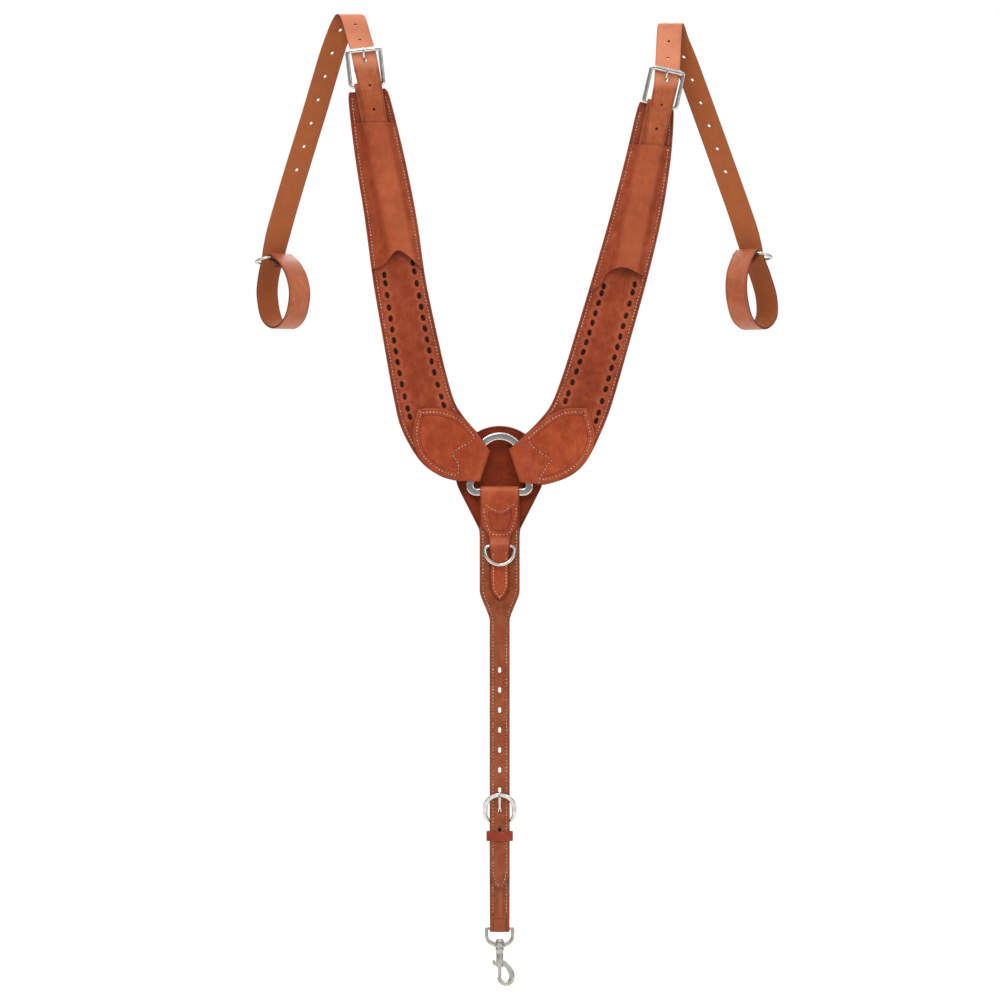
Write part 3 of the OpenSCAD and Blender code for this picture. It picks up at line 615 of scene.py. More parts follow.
def start_material(name):
    """A new material and its shader, with nothing set yet."""
    material = bpy.data.materials.new(name)
    material.use_nodes = True
    nodes = material.node_tree.nodes
    nodes.clear()
    shader = nodes.new("ShaderNodeBsdfPrincipled")
    output = nodes.new("ShaderNodeOutputMaterial")
    material.node_tree.links.new(shader.outputs["BSDF"], output.inputs["Surface"])
    return material, shader


class Tree:
    """Short calls for building a material's nodes; values are numbers, colours or other outputs."""

    def __init__(self, material):
        self.nodes = material.node_tree.nodes
        self.links = material.node_tree.links
        self.place = self.nodes.new("ShaderNodeTexCoord").outputs["Object"]

    def link(self, value, socket):
        """Links an output to an input, or sets the input to a plain value."""
        if isinstance(value, bpy.types.NodeSocket):
            self.links.new(value, socket)
        elif socket.type == "RGBA":
            socket.default_value = (*value, 1)
        else:
            socket.default_value = value

    def node(self, kind, **inputs):
        """A new node, with its inputs set or linked by name."""
        node = self.nodes.new("ShaderNode" + kind)
        for name, value in inputs.items():
            self.link(value, node.inputs[name])
        return node

    def noise(self, scale, detail=4.0, roughness=0.55, stretch=None):
        place = self.place
        if stretch is not None:
            place = self.node("Mapping", Vector=place, Scale=stretch).outputs["Vector"]
        node = self.node("TexNoise", Vector=place, Scale=scale, Detail=detail, Roughness=roughness)
        return node.outputs["Fac"]

    def cells(self, scale):
        return self.node("TexVoronoi", Vector=self.place, Scale=scale).outputs["Distance"]

    def attribute(self, name):
        node = self.node("Attribute")
        node.attribute_name = name
        return node.outputs["Fac"]

    def math(self, operation, a, b, clamp=False):
        node = self.node("Math")
        node.operation = operation
        node.use_clamp = clamp
        self.link(a, node.inputs[0])
        self.link(b, node.inputs[1])
        return node.outputs[0]

    def times(self, a, b, clamp=False):
        return self.math("MULTIPLY", a, b, clamp)

    def plus(self, a, b):
        return self.math("ADD", a, b)

    def weighted(self, *terms):
        """The sum of values, each times its weight."""
        total = self.times(*terms[0])
        for term in terms[1:]:
            total = self.plus(total, self.times(*term))
        return total

    def ramp(self, value, stops):
        node = self.node("ValToRGB", Fac=value)
        elements = node.color_ramp.elements
        while len(elements) < len(stops):
            elements.new(0.5)
        for element, (position, colour) in zip(elements, stops):
            element.position = position
            element.color = (*colour, 1)
        return node.outputs["Color"]

    def mix(self, factor, a, b):
        node = self.node("Mix")
        node.data_type = "RGBA"
        self.link(factor, node.inputs[0])
        self.link(a, node.inputs[6])
        self.link(b, node.inputs[7])
        return node.outputs[2]

    def bump(self, height, strength, distance, **normal):
        node = self.node("Bump", Strength=strength, Distance=distance, Height=height, **normal)
        return node.outputs["Normal"]


def leather_material(name, dark, middle, light, flesh, highlight_and_rubbed, gloss=0.42, shine=0.22):
    """Oiled leather: cloudy colour, pores and fine grain, burnished edges, fibrous flesh side,
    painted shade in pressed grooves and recesses, and painted highlights on folds and crowns.
    """
    material, shader = start_material(name)
    tree = Tree(material)
    cloud = tree.noise(14, 3, 0.5)
    mottle = tree.noise(90, 6, 0.65)
    pull = tree.noise(260, 3, 0.6, stretch=(1, 1, 0.25))
    blend = tree.weighted((cloud, 0.36), (mottle, 0.46), (pull, 0.2))
    grain_colour = tree.ramp(blend, [(0.34, dark), (0.5, middle), (0.68, light)])
    fibres = tree.noise(700, 5, 0.7)
    flesh_dark = tuple(0.72 * c for c in flesh)
    flesh_colour = tree.ramp(tree.weighted((fibres, 0.6), (mottle, 0.4)),
                             [(0.3, flesh_dark), (0.65, flesh)])
    is_flesh = tree.attribute("flesh")
    colour = tree.mix(is_flesh, grain_colour, flesh_colour)
    darkest = tuple(0.35 * c for c in dark)
    # Painted shade: pressed grooves and sunk places are darkened towards the deepest brown.
    colour = tree.mix(tree.times(tree.attribute("groove"), 0.72), colour, darkest)
    # Painted highlight on folds, crowns and the tug strap's crest, with some rubbing beside the down
    # strap's holes, lightens the colour here.
    highlight_and_wear_amount = tree.times(tree.attribute("highlight_and_wear"), tree.plus(cloud, 0.1), clamp=True)
    colour = tree.mix(tree.times(highlight_and_wear_amount, 0.9), colour, highlight_and_rubbed)
    rim = tree.times(tree.attribute("rim"), tree.plus(mottle, 0.45), clamp=True)
    colour = tree.mix(tree.times(rim, 0.85), colour, darkest)
    tree.link(colour, shader.inputs["Base Color"])
    rough = tree.plus(tree.times(mottle, 0.22), gloss - 0.11)
    rough = tree.plus(rough, tree.times(is_flesh, 0.3))
    tree.link(rough, shader.inputs["Roughness"])
    height = tree.weighted((tree.cells(1300), 0.6), (tree.noise(2600, 3, 0.6), 0.4))
    wrinkle = tree.bump(mottle, 0.35, 0.0012)
    tree.link(tree.bump(height, 0.35, 0.00035, Normal=wrinkle), shader.inputs["Normal"])
    shader.inputs["Coat Weight"].default_value = 0.05
    shader.inputs["Coat Roughness"].default_value = 0.32
    shader.inputs["Specular IOR Level"].default_value = shine
    return material


def metal_material(name, colour, roughness, bump):
    """Plated metal with faint tarnish, wipe marks and casting unevenness."""
    material, shader = start_material(name)
    tree = Tree(material)
    tarnish = tree.noise(120, 4, 0.6)
    dull = tuple(0.72 * c for c in colour)
    tree.link(tree.ramp(tarnish, [(0.3, dull), (0.62, colour)]), shader.inputs["Base Color"])
    wipes = tree.noise(900, 3, 0.6, stretch=(1, 1, 0.12))
    rough = tree.plus(tree.times(wipes, 0.16), roughness - 0.08)
    tree.link(rough, shader.inputs["Roughness"])
    tree.link(tree.bump(tree.noise(420, 3), bump, 0.0006), shader.inputs["Normal"])
    shader.inputs["Metallic"].default_value = 1.0
    return material


def thread_material():
    """Waxed twisted thread."""
    material, shader = start_material("waxed_thread")
    tree = Tree(material)
    soil = tree.noise(160, 4, 0.6)
    tree.link(tree.ramp(soil, [(0.35, (0.24, 0.09, 0.05)), (0.65, (0.66, 0.38, 0.27))]),
              shader.inputs["Base Color"])
    tree.link(tree.bump(tree.noise(2600, 2), 0.5, 0.0003), shader.inputs["Normal"])
    shader.inputs["Roughness"].default_value = 0.55
    return material


# Each leather's colours: dark, middle and light grain, flesh side, and the light colour that painted
# highlights and rubbing mix in.
RUSSET = leather_material("russet_leather", (0.20, 0.024, 0.005), (0.30, 0.043, 0.010),
                          (0.41, 0.080, 0.022), (0.33, 0.09, 0.028), (0.55, 0.14, 0.055))
BODY_RUSSET = leather_material("body_leather", (0.15, 0.019, 0.004), (0.235, 0.034, 0.008),
                               (0.33, 0.064, 0.018), (0.33, 0.09, 0.028), (0.46, 0.11, 0.045))
SLEEVE_RUSSET = leather_material("sleeve_leather", (0.17, 0.023, 0.005), (0.265, 0.042, 0.010),
                                 (0.36, 0.075, 0.021), (0.33, 0.09, 0.028), (0.49, 0.125, 0.05))
BROWN_RUSSET = leather_material("down_leather", (0.15, 0.029, 0.007), (0.225, 0.048, 0.013),
                                (0.31, 0.082, 0.028), (0.33, 0.09, 0.028), (0.42, 0.14, 0.06))
STRAP_RUSSET = leather_material("strap_leather", (0.24, 0.042, 0.010), (0.31, 0.066, 0.019),
                                (0.42, 0.120, 0.045), (0.35, 0.092, 0.024), (0.74, 0.28, 0.15))
DARK_LEATHER = leather_material("safe_leather", (0.115, 0.012, 0.002), (0.175, 0.020, 0.003),
                                (0.24, 0.032, 0.006), (0.30, 0.09, 0.03), (0.30, 0.05, 0.01),
                                gloss=0.55, shine=0.12)
LACE = leather_material("lace_leather", (0.008, 0.0015, 0.001), (0.018, 0.003, 0.001),
                        (0.045, 0.009, 0.003), (0.05, 0.012, 0.006), (0.06, 0.015, 0.006),
                        gloss=0.55, shine=0.08)
LINING = leather_material("lining_leather", (0.24, 0.050, 0.014), (0.34, 0.085, 0.028),
                          (0.44, 0.13, 0.05), (0.36, 0.11, 0.035), (0.5, 0.17, 0.07), gloss=0.5)
KEEPER_RUSSET = leather_material("keeper_leather", (0.16, 0.016, 0.005), (0.23, 0.028, 0.009),
                                 (0.31, 0.054, 0.018), (0.38, 0.14, 0.05), (0.42, 0.10, 0.04))
THREAD = thread_material()
NICKEL = metal_material("polished_nickel", (0.64, 0.62, 0.58), 0.14, 0.02)
SATIN = metal_material("satin_nickel", (0.46, 0.44, 0.40), 0.32, 0.3)
SPRING = metal_material("spring_steel", (0.42, 0.42, 0.43), 0.35, 0.1)


# ---------- placing patterns ----------

def upright(y, outward=-1, swell=0.0):
    """Places a pattern of x and z upright at depth y, grain facing -Y, or +Y if outward is 1."""
    def place(flat):
        x, z = flat[:, 0], flat[:, 1]
        wave = swell * np.sin(x / 19 + z / 47) * np.sin(z / 31 - x / 53)
        return np.stack([x, y + outward * (flat[:, 2] + wave), z], 1)
    return place


def hung(section):
    """Places a pattern of x and z on a sheet whose depth follows a section of y and z."""
    section = np.asarray(section, float)
    section = section[np.argsort(section[:, 1])]
    slope = np.gradient(section[:, 0], section[:, 1])

    def place(flat):
        z = flat[:, 1]
        tilt = np.interp(z, section[:, 1], slope)
        size = np.hypot(1, tilt)
        y = np.interp(z, section[:, 1], section[:, 0]) - flat[:, 2] / size
        return np.stack([flat[:, 0], y, z + flat[:, 2] * tilt / size], 1)
    return place


def turned_frame(origin, lean=0.0, pitch=0.0, turn=0.0):
    """Maps local x, y, z to the model: pitched about X, leaned about Y, turned about Z."""
    p, l, t = np.radians([pitch, lean, turn])
    about_x = np.array([[1, 0, 0], [0, math.cos(p), -math.sin(p)], [0, math.sin(p), math.cos(p)]])
    about_y = np.array([[math.cos(l), 0, math.sin(l)], [0, 1, 0], [-math.sin(l), 0, math.cos(l)]])
    about_z = np.array([[math.cos(t), -math.sin(t), 0], [math.sin(t), math.cos(t), 0], [0, 0, 1]])
    matrix = about_z @ about_y @ about_x

    def place(local):
        return np.asarray(local, float) @ matrix.T + origin
    place.axes = matrix.T
    return place


def seam(name, loop, place, height, body, where=None, inset_by=SEAM_IN):
    """A row of thread stitches that follows an outline at a distance."""
    loop = anticlockwise(loop)
    normals = inward(loop)
    room = reach(loop, normals, inset_by)
    line = loop + normals * np.minimum(inset_by, room)[:, None]
    return stitches(name, closed_up(line), place, height, body, where)


# ---------- shoulder pieces ----------

def lace_places(side):
    """Middle and direction in x and z of each lace stitch, from the CAD lacing's separate solids."""
    mesh = frame["nodes"][side + "_lacing"].data
    world = np.array([v.co for v in mesh.vertices]) / MM
    parent = list(range(len(world)))

    def root(i):
        while parent[i] != i:
            parent[i] = parent[parent[i]]
            i = parent[i]
        return i

    first = {}
    for i, spot in enumerate(np.round(world, 2)):
        parent[root(i)] = root(first.setdefault(tuple(spot), i))
    for edge in mesh.edges:
        parent[root(edge.vertices[0])] = root(edge.vertices[1])
    groups = {}
    for i in range(len(world)):
        groups.setdefault(root(i), []).append(i)
    places = []
    for ids in groups.values():
        flat = world[ids][:, [0, 2]]
        along = np.linalg.svd(flat - flat.mean(axis=0))[2][0]
        places.append((*((flat.min(axis=0) + flat.max(axis=0)) / 2), *along))
    return np.array(sorted(places))


def lacing(side, place):
    """Dark lace stitches, domed and sunk at both ends, in two rows."""
    verts = []
    steps = np.linspace(-1, 1, 11)
    sides = 12
    turn = np.arange(sides) / sides * 2 * math.pi
    places = lace_places(side)
    for number, spot in enumerate(places):
        along = spot[2:]
        across = np.array([-along[1], along[0]])
        lean = 0.5 * math.sin(7.3 * number)
        for step in steps:
            end = math.sqrt(max(0.0, 1 - abs(step) ** 3))
            centre = spot[:2] + along * step * 4.2 + across * lean * step
            width = 0.5 + 1.7 * end
            for a in turn:
                flat = centre + across * width * math.cos(a)
                verts.append((*flat, -0.5 + 1.25 * end + 0.75 * math.sin(a)))
    faces = strands(len(places), len(steps), sides)
    new_piece(side + "_lacing", place(np.array(verts)), faces, LACE, side + "_shoulder")


def shoulder_body(side):
    """Front leather and lining, sewn together round their edge and puckered at the lace stitches."""
    body = side + "_shoulder"
    loop = smooth_loop(silhouette(side + "_body_front"), 3.0)
    grooves = ((CREASE_IN, 0.3), (SEAM_IN, 0.35))
    front, back = upright(-BODY_T / 2, swell=0.35), upright(BODY_T / 2, 1)
    laces = lace_places(side)[:, :2]

    def relief(flat):
        gap = np.linalg.norm(flat[:, None, :] - laces[None], axis=2).min(axis=1)
        pucker = np.exp(-((gap - 5.2) / 1.7) ** 2)
        pressed = np.exp(-(gap / 3.4) ** 4)
        # Painted shade in the dip pressed in at each lace stitch; the puckered ring round it is made
        # lighter.
        return 0.3 * pucker - 0.5 * pressed, 0.5 * pressed, 0.8 * pucker

    leather(side + "_body_front", loop, front, BODY_T, body, BODY_RUSSET, spacing=2.4,
            grooves=grooves, relief=relief)
    leather(side + "_body_lining", loop, back, BODY_T, body, LINING,
            grooves=grooves)
    seam(side + "_body_seam", loop, front, BODY_T / 2, body,
         where=lambda spots: spots[:, 1] < loop[:, 1].max() - 12)
    seam(side + "_lining_seam", loop, back, BODY_T / 2, body)
    lacing(side, upright(-BODY_T, swell=0.35))
    return loop


def sleeve(side, shoulder_loop):
    """Raised sleeve over the tug strap's tail and the chape, sewn to the body along its edges."""
    body = side + "_shoulder"
    heel = pivot(side + "_tongue_play")
    across = turned_frame(heel, SLEEVE_LEAN[side]).axes[0][[0, 2]]
    loop = smooth_loop(silhouette(side + "_sleeve"), 2.6)

    def dome(flat):
        u = np.abs((flat[:, :2] - heel[[0, 2]]) @ across)
        fall = np.clip((u - SLEEVE_TOP_HALF_W) / SLEEVE_SLOPE_W, 0, 1)
        crown = 0.7 * np.clip(1 - (u / 12) ** 2, 0, 1)
        ripple = 0.22 * np.sin(flat[:, 1] / 13 + flat[:, 0] / 9)
        return (SLEEVE_RISE + ripple + crown) * (0.5 + 0.5 * np.cos(math.pi * fall))

    def place(flat):
        y = -BODY_T - SLEEVE_T / 2 - dome(flat) - flat[:, 2]
        return np.stack([flat[:, 0], y, flat[:, 1]], 1)

    def relief(flat):
        height = dome(flat) / 9.4
        none = np.zeros(len(flat))
        # Painted highlight: the leather is lighter towards the top of the dome.
        return none, none, 0.55 * np.clip(height, 0, 1) ** 3

    leather(side + "_sleeve", loop, place, SLEEVE_T, body, SLEEVE_RUSSET,
            spacing=2.6,
            grooves=((CREASE_IN, 0.3), (SEAM_IN, 0.3)), relief=relief,
            grooved=lambda spots: distance_to(shoulder_loop, spots) < 1.5)
    seam(side + "_sleeve_seam", loop, place, SLEEVE_T / 2, body,
         where=lambda spots: np.abs(distance_to(shoulder_loop, spots) - SEAM_IN) < 0.4)


def shoulder_tab(side):
    """Leaf-shaped tab that wraps the ring's side bar and is sewn on both faces of the body."""
    body = side + "_shoulder"
    hinge = pivot(side + "_shoulder_swing")
    axis = np.array(JOINTS[side + "_shoulder_swing"]["axis"])
    up = axis * np.sign(axis[2])
    grain = -1 if side == "left" else 1
    out = grain * np.cross((0, 1, 0), up)
    leaf_y = -BODY_T - OVERLAY_T / 2
    nose = [(-11.3, 0), (-10.7, -2.7), (-9.0, -4.9), (-6.6, -6.2), (-4, -6.9), (-1, -7.7),
            (3, -7.4), (8, -5.9), (14, leaf_y - 0.1), (20, leaf_y), (60, leaf_y), (130, leaf_y)]
    bend = catmull([(u, -y) for u, y in reversed(nose[1:])] + nose, 6)
    middle = int(np.argmin(bend[:, 0]))
    ribbon = Ribbon(hinge + bend[:, 0:1] * out + bend[:, 1:2] * np.array([0, 1, 0]), up)
    zero = ribbon.s[middle]
    front_u, front_s = bend[middle:, 0], ribbon.s[middle:] - zero
    back_u, back_s = bend[:middle + 1, 0][::-1], (ribbon.s[:middle + 1] - zero)[::-1]

    fold_u = np.concatenate([np.linspace(bend[middle, 0], 12, 12), np.arange(15, 51, 3.0)])
    fold_s = np.interp(fold_u, back_u, back_s)
    edges = []
    for points in (TAB_UPPER[side], TAB_LOWER[side]):
        spots = catmull(points[::-1], 5)
        rel = facing(spots) - hinge
        u, v = rel @ out, rel @ up
        front = np.stack([v, np.interp(u, front_u, front_s)], 1)[u > fold_u[0] + 0.6]
        near = u < 60
        back = np.stack([np.interp(fold_u, u[near], v[near]), fold_s], 1)
        edges.append(np.concatenate([back[::-1], front]))
    pattern = smooth_loop(np.concatenate([edges[0], edges[1][::-1]]), 2.0)

    def place(flat):
        return ribbon(np.column_stack([flat[:, 0], flat[:, 1] + zero, grain * flat[:, 2]]))

    rel = facing(TAB_VEE[side]) - hinge
    vee = catmull(np.stack([rel @ up, np.interp(rel @ out, front_u, front_s)], 1), 5)

    def beyond_vee(spots):
        edge = np.interp(spots[:, 0], *vee[np.argsort(vee[:, 0])].T)
        return np.abs(spots[:, 1]) > edge

    def relief(flat):
        crease = np.exp(-(line_distance(flat, vee) / 0.9) ** 2) * (flat[:, 1] > 0)
        fold = np.exp(-(flat[:, 1] / 7) ** 2)
        # Painted shade in the vee crease, and painted highlight lightening the leaf along its fold.
        return -0.3 * crease, 0.8 * crease, 0.6 * fold

    folds = np.arange(pattern[:, 1].min() + 1, pattern[:, 1].max(), 2.0)
    leather(side + "_shoulder_tab", pattern, place, OVERLAY_T, body, RUSSET,
            spacing=2.4, lines=folds, grooves=((TAB_SEAM_IN, 0.3), (TAB_CREASE_IN, 0.35)),
            grooved=beyond_vee, relief=relief)
    seam(side + "_tab_seam", pattern, place, OVERLAY_T / 2, body, where=beyond_vee,
         inset_by=TAB_SEAM_IN)
    stitches(side + "_tab_vee", vee, place, OVERLAY_T / 2, body)


# ---------- tug straps ----------

def tug_strap(side):
    """Billet that runs from the sleeve through the buckle, down the back and round its own loop."""
    body = side + "_shoulder"
    path = catmull(TUG_PATHS[side], TUG_STEPS)
    turn = np.radians(path[:, 3])
    across = -np.stack([np.cos(turn), np.sin(turn), np.zeros(len(turn))], 1)
    ribbon = Ribbon(path[:, :3], across, level=True)
    total = ribbon.s[-1]
    roller_s = ribbon.s[ROLLER_STATION * TUG_STEPS]
    tangent = unit(np.gradient(ribbon.centre, ribbon.s, axis=0))
    bending = np.linalg.norm(np.gradient(tangent, ribbon.s, axis=0), axis=1)
    rows = [0.0]
    while rows[-1] < total - 3:
        tight = np.interp(rows[-1], ribbon.s, bending)
        rows.append(rows[-1] + np.clip(0.3 / max(tight, 1e-3), 1.0, 3.0))
    rows = np.array(rows + [total])
    z = np.interp(rows, ribbon.s, ribbon.centre[:, 2])
    half = TUG_TAIL_W / 2 + (TUG_W - TUG_TAIL_W) / 2 * np.clip((z - 300) / 200, 0, 1)
    half = np.where(rows > roller_s, TUG_W / 2, half)
    loop = np.concatenate([np.stack([half, rows], 1), np.stack([-half, rows], 1)[::-1]])

    below = slice(0, 7 * TUG_STEPS)
    tongue_s = np.interp(pivot(side + "_tongue_play")[2] + 32, ribbon.centre[below, 2], ribbon.s[below])
    holes = [slot_loop((0, tongue_s + 1.5), 3.8, 5.6)]
    holes += [slot_loop((0, tongue_s + gap), 3.2, 3.4) for gap in (-62, -31, 32, 60)]
    top_s = ribbon.s[REAR_TOP_STATION * TUG_STEPS] - 4
    holes += [slot_loop((0, top_s + TUG_HOLE_PITCH * k), 3.4, 3.8) for k in range(-1, 6)]
    loop_s = ribbon.s[REAR_LOW_STATION * TUG_STEPS]

    def relief(flat):
        # Painted highlight: lighter from just below the buckle over the crest, fading down the back;
        # the tooled pattern by the loop is darker.
        below_roller = np.clip((flat[:, 1] - tongue_s + 12) / 14, 0, 1)
        past_fold = np.clip((flat[:, 1] - top_s) / 60, 0, 0.75)
        highlight_and_wear = below_roller * (1 - past_fold)
        tooled = np.sin(flat[:, 1] * 0.9) * np.sin(flat[:, 0] * 0.9) * (flat[:, 1] > loop_s + 215)
        return np.zeros(len(flat)), 0.3 * np.clip(tooled, 0, 1), highlight_and_wear

    leather(side + "_tug_strap", loop, ribbon, TUG_T, body, STRAP_RUSSET,
            holes=holes, spacing=4.0, lines=rows[1:-1], grooves=((2.2, 0.3),), relief=relief)
    fold_seam = np.array([(-12.0, total - 4), (12.0, total - 4)])
    stitches(side + "_loop_seam", fold_seam, ribbon, TUG_T / 2, body)


def chape(side):
    """Strap folded round a roller buckle's heel bar, with a slot for the tongue."""
    place = turned_frame(pivot(side + "_tongue_play"), SLEEVE_LEAN[side])
    section = [(3.6, -175), (3.6, -100), (3.6, -30), (3.6, -12), (3.7, -4), (3.5, 1), (2.4, 3),
               (0, 3.8), (-2.4, 3), (-3.5, 1), (-3.6, -2), (-2.6, -6), (0, -10), (1.2, -14),
               (1.2, -30), (1.2, -100), (1.2, -175)]
    bend = catmull(section, 5)
    ribbon = Ribbon(place(side_on(bend)), place.axes[0])
    top = ribbon.s[np.argmax(bend[:, 1])]
    total = ribbon.s[-1]
    loop = np.array([(16.5, 0), (16.5, total), (-16.5, total), (-16.5, 0)], float)
    slot = slot_loop((0, top), 6.0, 22.0)
    near_top = np.abs(ribbon.s - top) < 24
    lines = np.unique(np.concatenate([np.arange(2, total, 4.0), ribbon.s[near_top][::2]]))
    leather(side + "_buckle_chape", smooth_loop(loop, 3.0), ribbon, OVERLAY_T, side + "_shoulder",
            STRAP_RUSSET, holes=[slot], spacing=4.0, lines=lines, grooves=())


# ---------- hardware ----------

def rounded_path(corners, radii):
    """A closed path through corners in two dimensions, each rounded by its radius."""
    corners = np.asarray(corners, float)
    path = []
    for i, corner in enumerate(corners):
        before = unit(corners[i - 1] - corner)
        after = unit(corners[(i + 1) % len(corners)] - corner)
        half = 0.5 * math.acos(np.clip(before @ after, -1, 1))
        cut = radii[i] / math.tan(half)
        centre = corner + unit(before + after) * radii[i] / math.sin(half)
        first, last = corner + before * cut - centre, corner + after * cut - centre
        for t in np.linspace(0, 1, CORNER_POINTS):
            way = unit(first * (1 - t) + last * t + 1e-9)
            path.append(centre + way * radii[i])
    return np.array(path)


def roller_buckle(side):
    """Frame of drawn wire, a roller that turns on its far bar, and a tongue on its heel bar."""
    body = side + "_shoulder"
    lean = {"left": -6, "right": 13}[side]
    heel = pivot(side + "_tongue_play")
    place = turned_frame(heel, lean, pitch=12.06)
    half_w, length = 21, 45
    corners = [(-half_w, 0), (half_w, 0), (half_w, length), (-half_w, length)]
    path = rounded_path(corners, [2.6, 2.6, 2.0, 2.0])
    path = evenly_closed(path, 2.0)
    on_far_bar = (path[:, 1] > length - 1.8) & (np.abs(path[:, 0]) < half_w - 2)
    widths = np.where(on_far_bar, 1.6, 2.4)
    tube(side + "_buckle_frame", place(facing(path)), widths, NICKEL, body, place.axes[1],
         closed=True, heights=np.where(on_far_bar, 1.6, 2.15), power=2.5)

    half, r = 18.1, 3.2
    end = [(1.85, half), (2.6, half), (r - 0.15, half - 0.25), (r, half - 0.8), (r, half - 4)]
    profile = [(radius, -height) for radius, height in end] + end[::-1]
    turned(side + "_buckle_roller", profile, place((0, 0, length)), place.axes[0], NICKEL,
           side + "_roller", closed=True)

    flat = turned_frame(heel, lean)
    bend = catmull([(-0.4, 2.6), (0.2, 12), (0.6, 24), (0.1, 28), (-2.4, 31.2), (-8.4, 33.4),
                    (-12, 36.4), (-14.3, 41), (-14.5, 44.5), (-14.3, 47)], 5)
    taper = tapering(bend, [0, 0.7, 0.93, 1], [1.5, 1.4, 1.2, 0.5])
    tube(side + "_buckle_tongue", flat(side_on(bend)), np.minimum(taper, 1.3), NICKEL, side + "_tongue",
         flat.axes[0], heights=taper, power=2.4)
    eye = [(2.35, -2.1), (3.2, -2.2), (3.6, -1.7), (3.7, 0), (3.6, 1.7), (3.2, 2.2), (2.35, 2.1)]
    turned(side + "_tongue_eye", eye, heel, flat.axes[0], NICKEL, side + "_tongue",
           closed=True)


def tug_ring(side):
    """Small oval wire ring caught in the folded end of a tug strap."""
    turn = TUG_PATHS[side][-1][3]
    outline = np.concatenate([arc((13, 13), 13, -90, 90, 24), arc((-13, 13), 13, 90, 270, 24)])
    middle = pivot(side + "_tug_ring_play")
    tilted = turned_frame((0, 0, 0), pitch=-15)
    place = turned_frame(middle, turn=turn)
    flat = np.column_stack([outline, np.zeros(len(outline))])
    normal = place(tilted((0, 0, 1))) - middle
    tube(side + "_tug_ring", place(tilted(flat)), 1.85, NICKEL, side + "_tug_ring",
         normal, closed=True)


def centre_ring():
    """Flat polished ring: round top, straight sides, small round lower corners."""
    top_r, corner_r, normal = 28.25, 8.25, 14.4
    corner_x, corner_z = 29.506, -27.496
    path = np.concatenate([
        arc((0, 7), top_r, normal, 180 - normal, 48),
        arc((-corner_x, corner_z), corner_r, 180 - normal, 270, 14),
        arc((corner_x, corner_z), corner_r, -90, normal, 14)])
    path = evenly_closed(path, 2.5)
    tube("centre_ring", facing(path), 4.72, NICKEL, "ring", (0, 1, 0), closed=True,
         heights=2.45, sides=40, power=3.2, dish=0.22)


def tie_dee():
    """Wire dee that hangs in front of the down strap from the ring tab's bulge."""
    r, corner = 18.6, 5.6
    bar = [(x, 0) for x in np.linspace(-11, 11, 10)]
    outline = np.concatenate([arc((corner - r, -corner), corner, 180, 90, 8), bar,
                              arc((r - corner, -corner), corner, 90, 0, 8),
                              arc((0, -corner), r, 0, -180, 32)[1:-1]])
    place = turned_frame(pivot("tie_dee_flip"), pitch=-8)
    tube("tie_dee", place(facing(outline)), 2.2, NICKEL, "tie_dee", place.axes[1],
         closed=True)


def down_buckle():
    """Horseshoe-shaped heel-bar buckle with a plain tongue."""
    heel = pivot("down_tongue_play")
    place = turned_frame(heel, pitch=24)
    path = np.concatenate([arc((6.4, 12), 12, -90, 0, 12), arc((0, 20), 18.4, 0, 180, 40),
                           arc((-6.4, 12), 12, 180, 270, 12)])
    path = evenly_closed(path, 1.6)
    widths = np.interp(path[:, 1], [0, 6, 14, 39], [1.9, 2.2, 2.9, 2.8])
    tube("down_buckle_frame", place(facing(path)), widths, NICKEL, "down_strap",
         place.axes[1],
         closed=True, heights=np.minimum(widths, 1.9), sides=32, power=2.6, dish=0.3)
    hole_z = FIRST_HOLE_Z - TONGUE_HOLE * HOLE_PITCH
    top = place((0, 0, 38.4))
    tip_y = top[1] - 3.5
    bend = catmull([(heel[1], heel[2] + 2.6), (6, hole_z - 5), (4.6, hole_z - 1.6), (2.6, hole_z),
                    (-4.2, hole_z + 0.2), (-7.6, hole_z + 2), (-9.4, hole_z + 6),
                    (tip_y, top[2] - 5), (tip_y, top[2] - 1), (tip_y + 0.4, top[2] + 1.2)], 5)
    taper = tapering(bend, [0, 0.45, 0.7, 0.9, 1], [1.35, 1.2, 1.5, 2.0, 0.9])
    tube("down_buckle_tongue", side_on(bend), np.minimum(taper, 1.25), NICKEL, "down_tongue",
         (1, 0, 0), heights=taper, power=2.4)
    eye = [(2.1, -1.9), (3.0, -2.0), (3.35, -1.5), (3.4, 0), (3.35, 1.5), (3.0, 2.0), (2.1, 1.9)]
    turned("down_tongue_eye", eye, heel, (1, 0, 0), NICKEL, "down_tongue", closed=True)


# ---------- down strap ----------

def down_strap():
    """Two layers sewn together, with the adjustment holes punched through both."""
    loop = smooth_loop(silhouette("down_strap_front"), 2.6)
    holes = [slot_loop((0, FIRST_HOLE_Z - HOLE_PITCH * i), 3.6, 7) for i in range(HOLE_COUNT)]
    front, back = upright(-DOWN_T / 2, swell=0.15), upright(DOWN_T / 2, 1)

    def relief(flat):
        side = np.abs(flat[:, 0])
        spread = 0.25 * np.exp(-((side - 3.5) / 1.5) ** 2) * (flat[:, 1] < -250)
        none = np.zeros(len(flat))
        return none, none, spread

    grooves = ((DOWN_SEAM_IN, 0.3),)
    leather("down_strap_front", loop, front, DOWN_T, "down_strap", BROWN_RUSSET,
            holes=holes, spacing=3.2, grooves=grooves, relief=relief)
    leather("down_strap_lining", loop, back, DOWN_T, "down_strap", LINING,
            holes=holes, spacing=5, grooves=grooves)
    for name, place in (("down_strap_seam", front), ("down_lining_seam", back)):
        seam(name, loop, place, DOWN_T / 2, "down_strap", inset_by=DOWN_SEAM_IN,
             where=lambda spots: spots[:, 1] < -60)


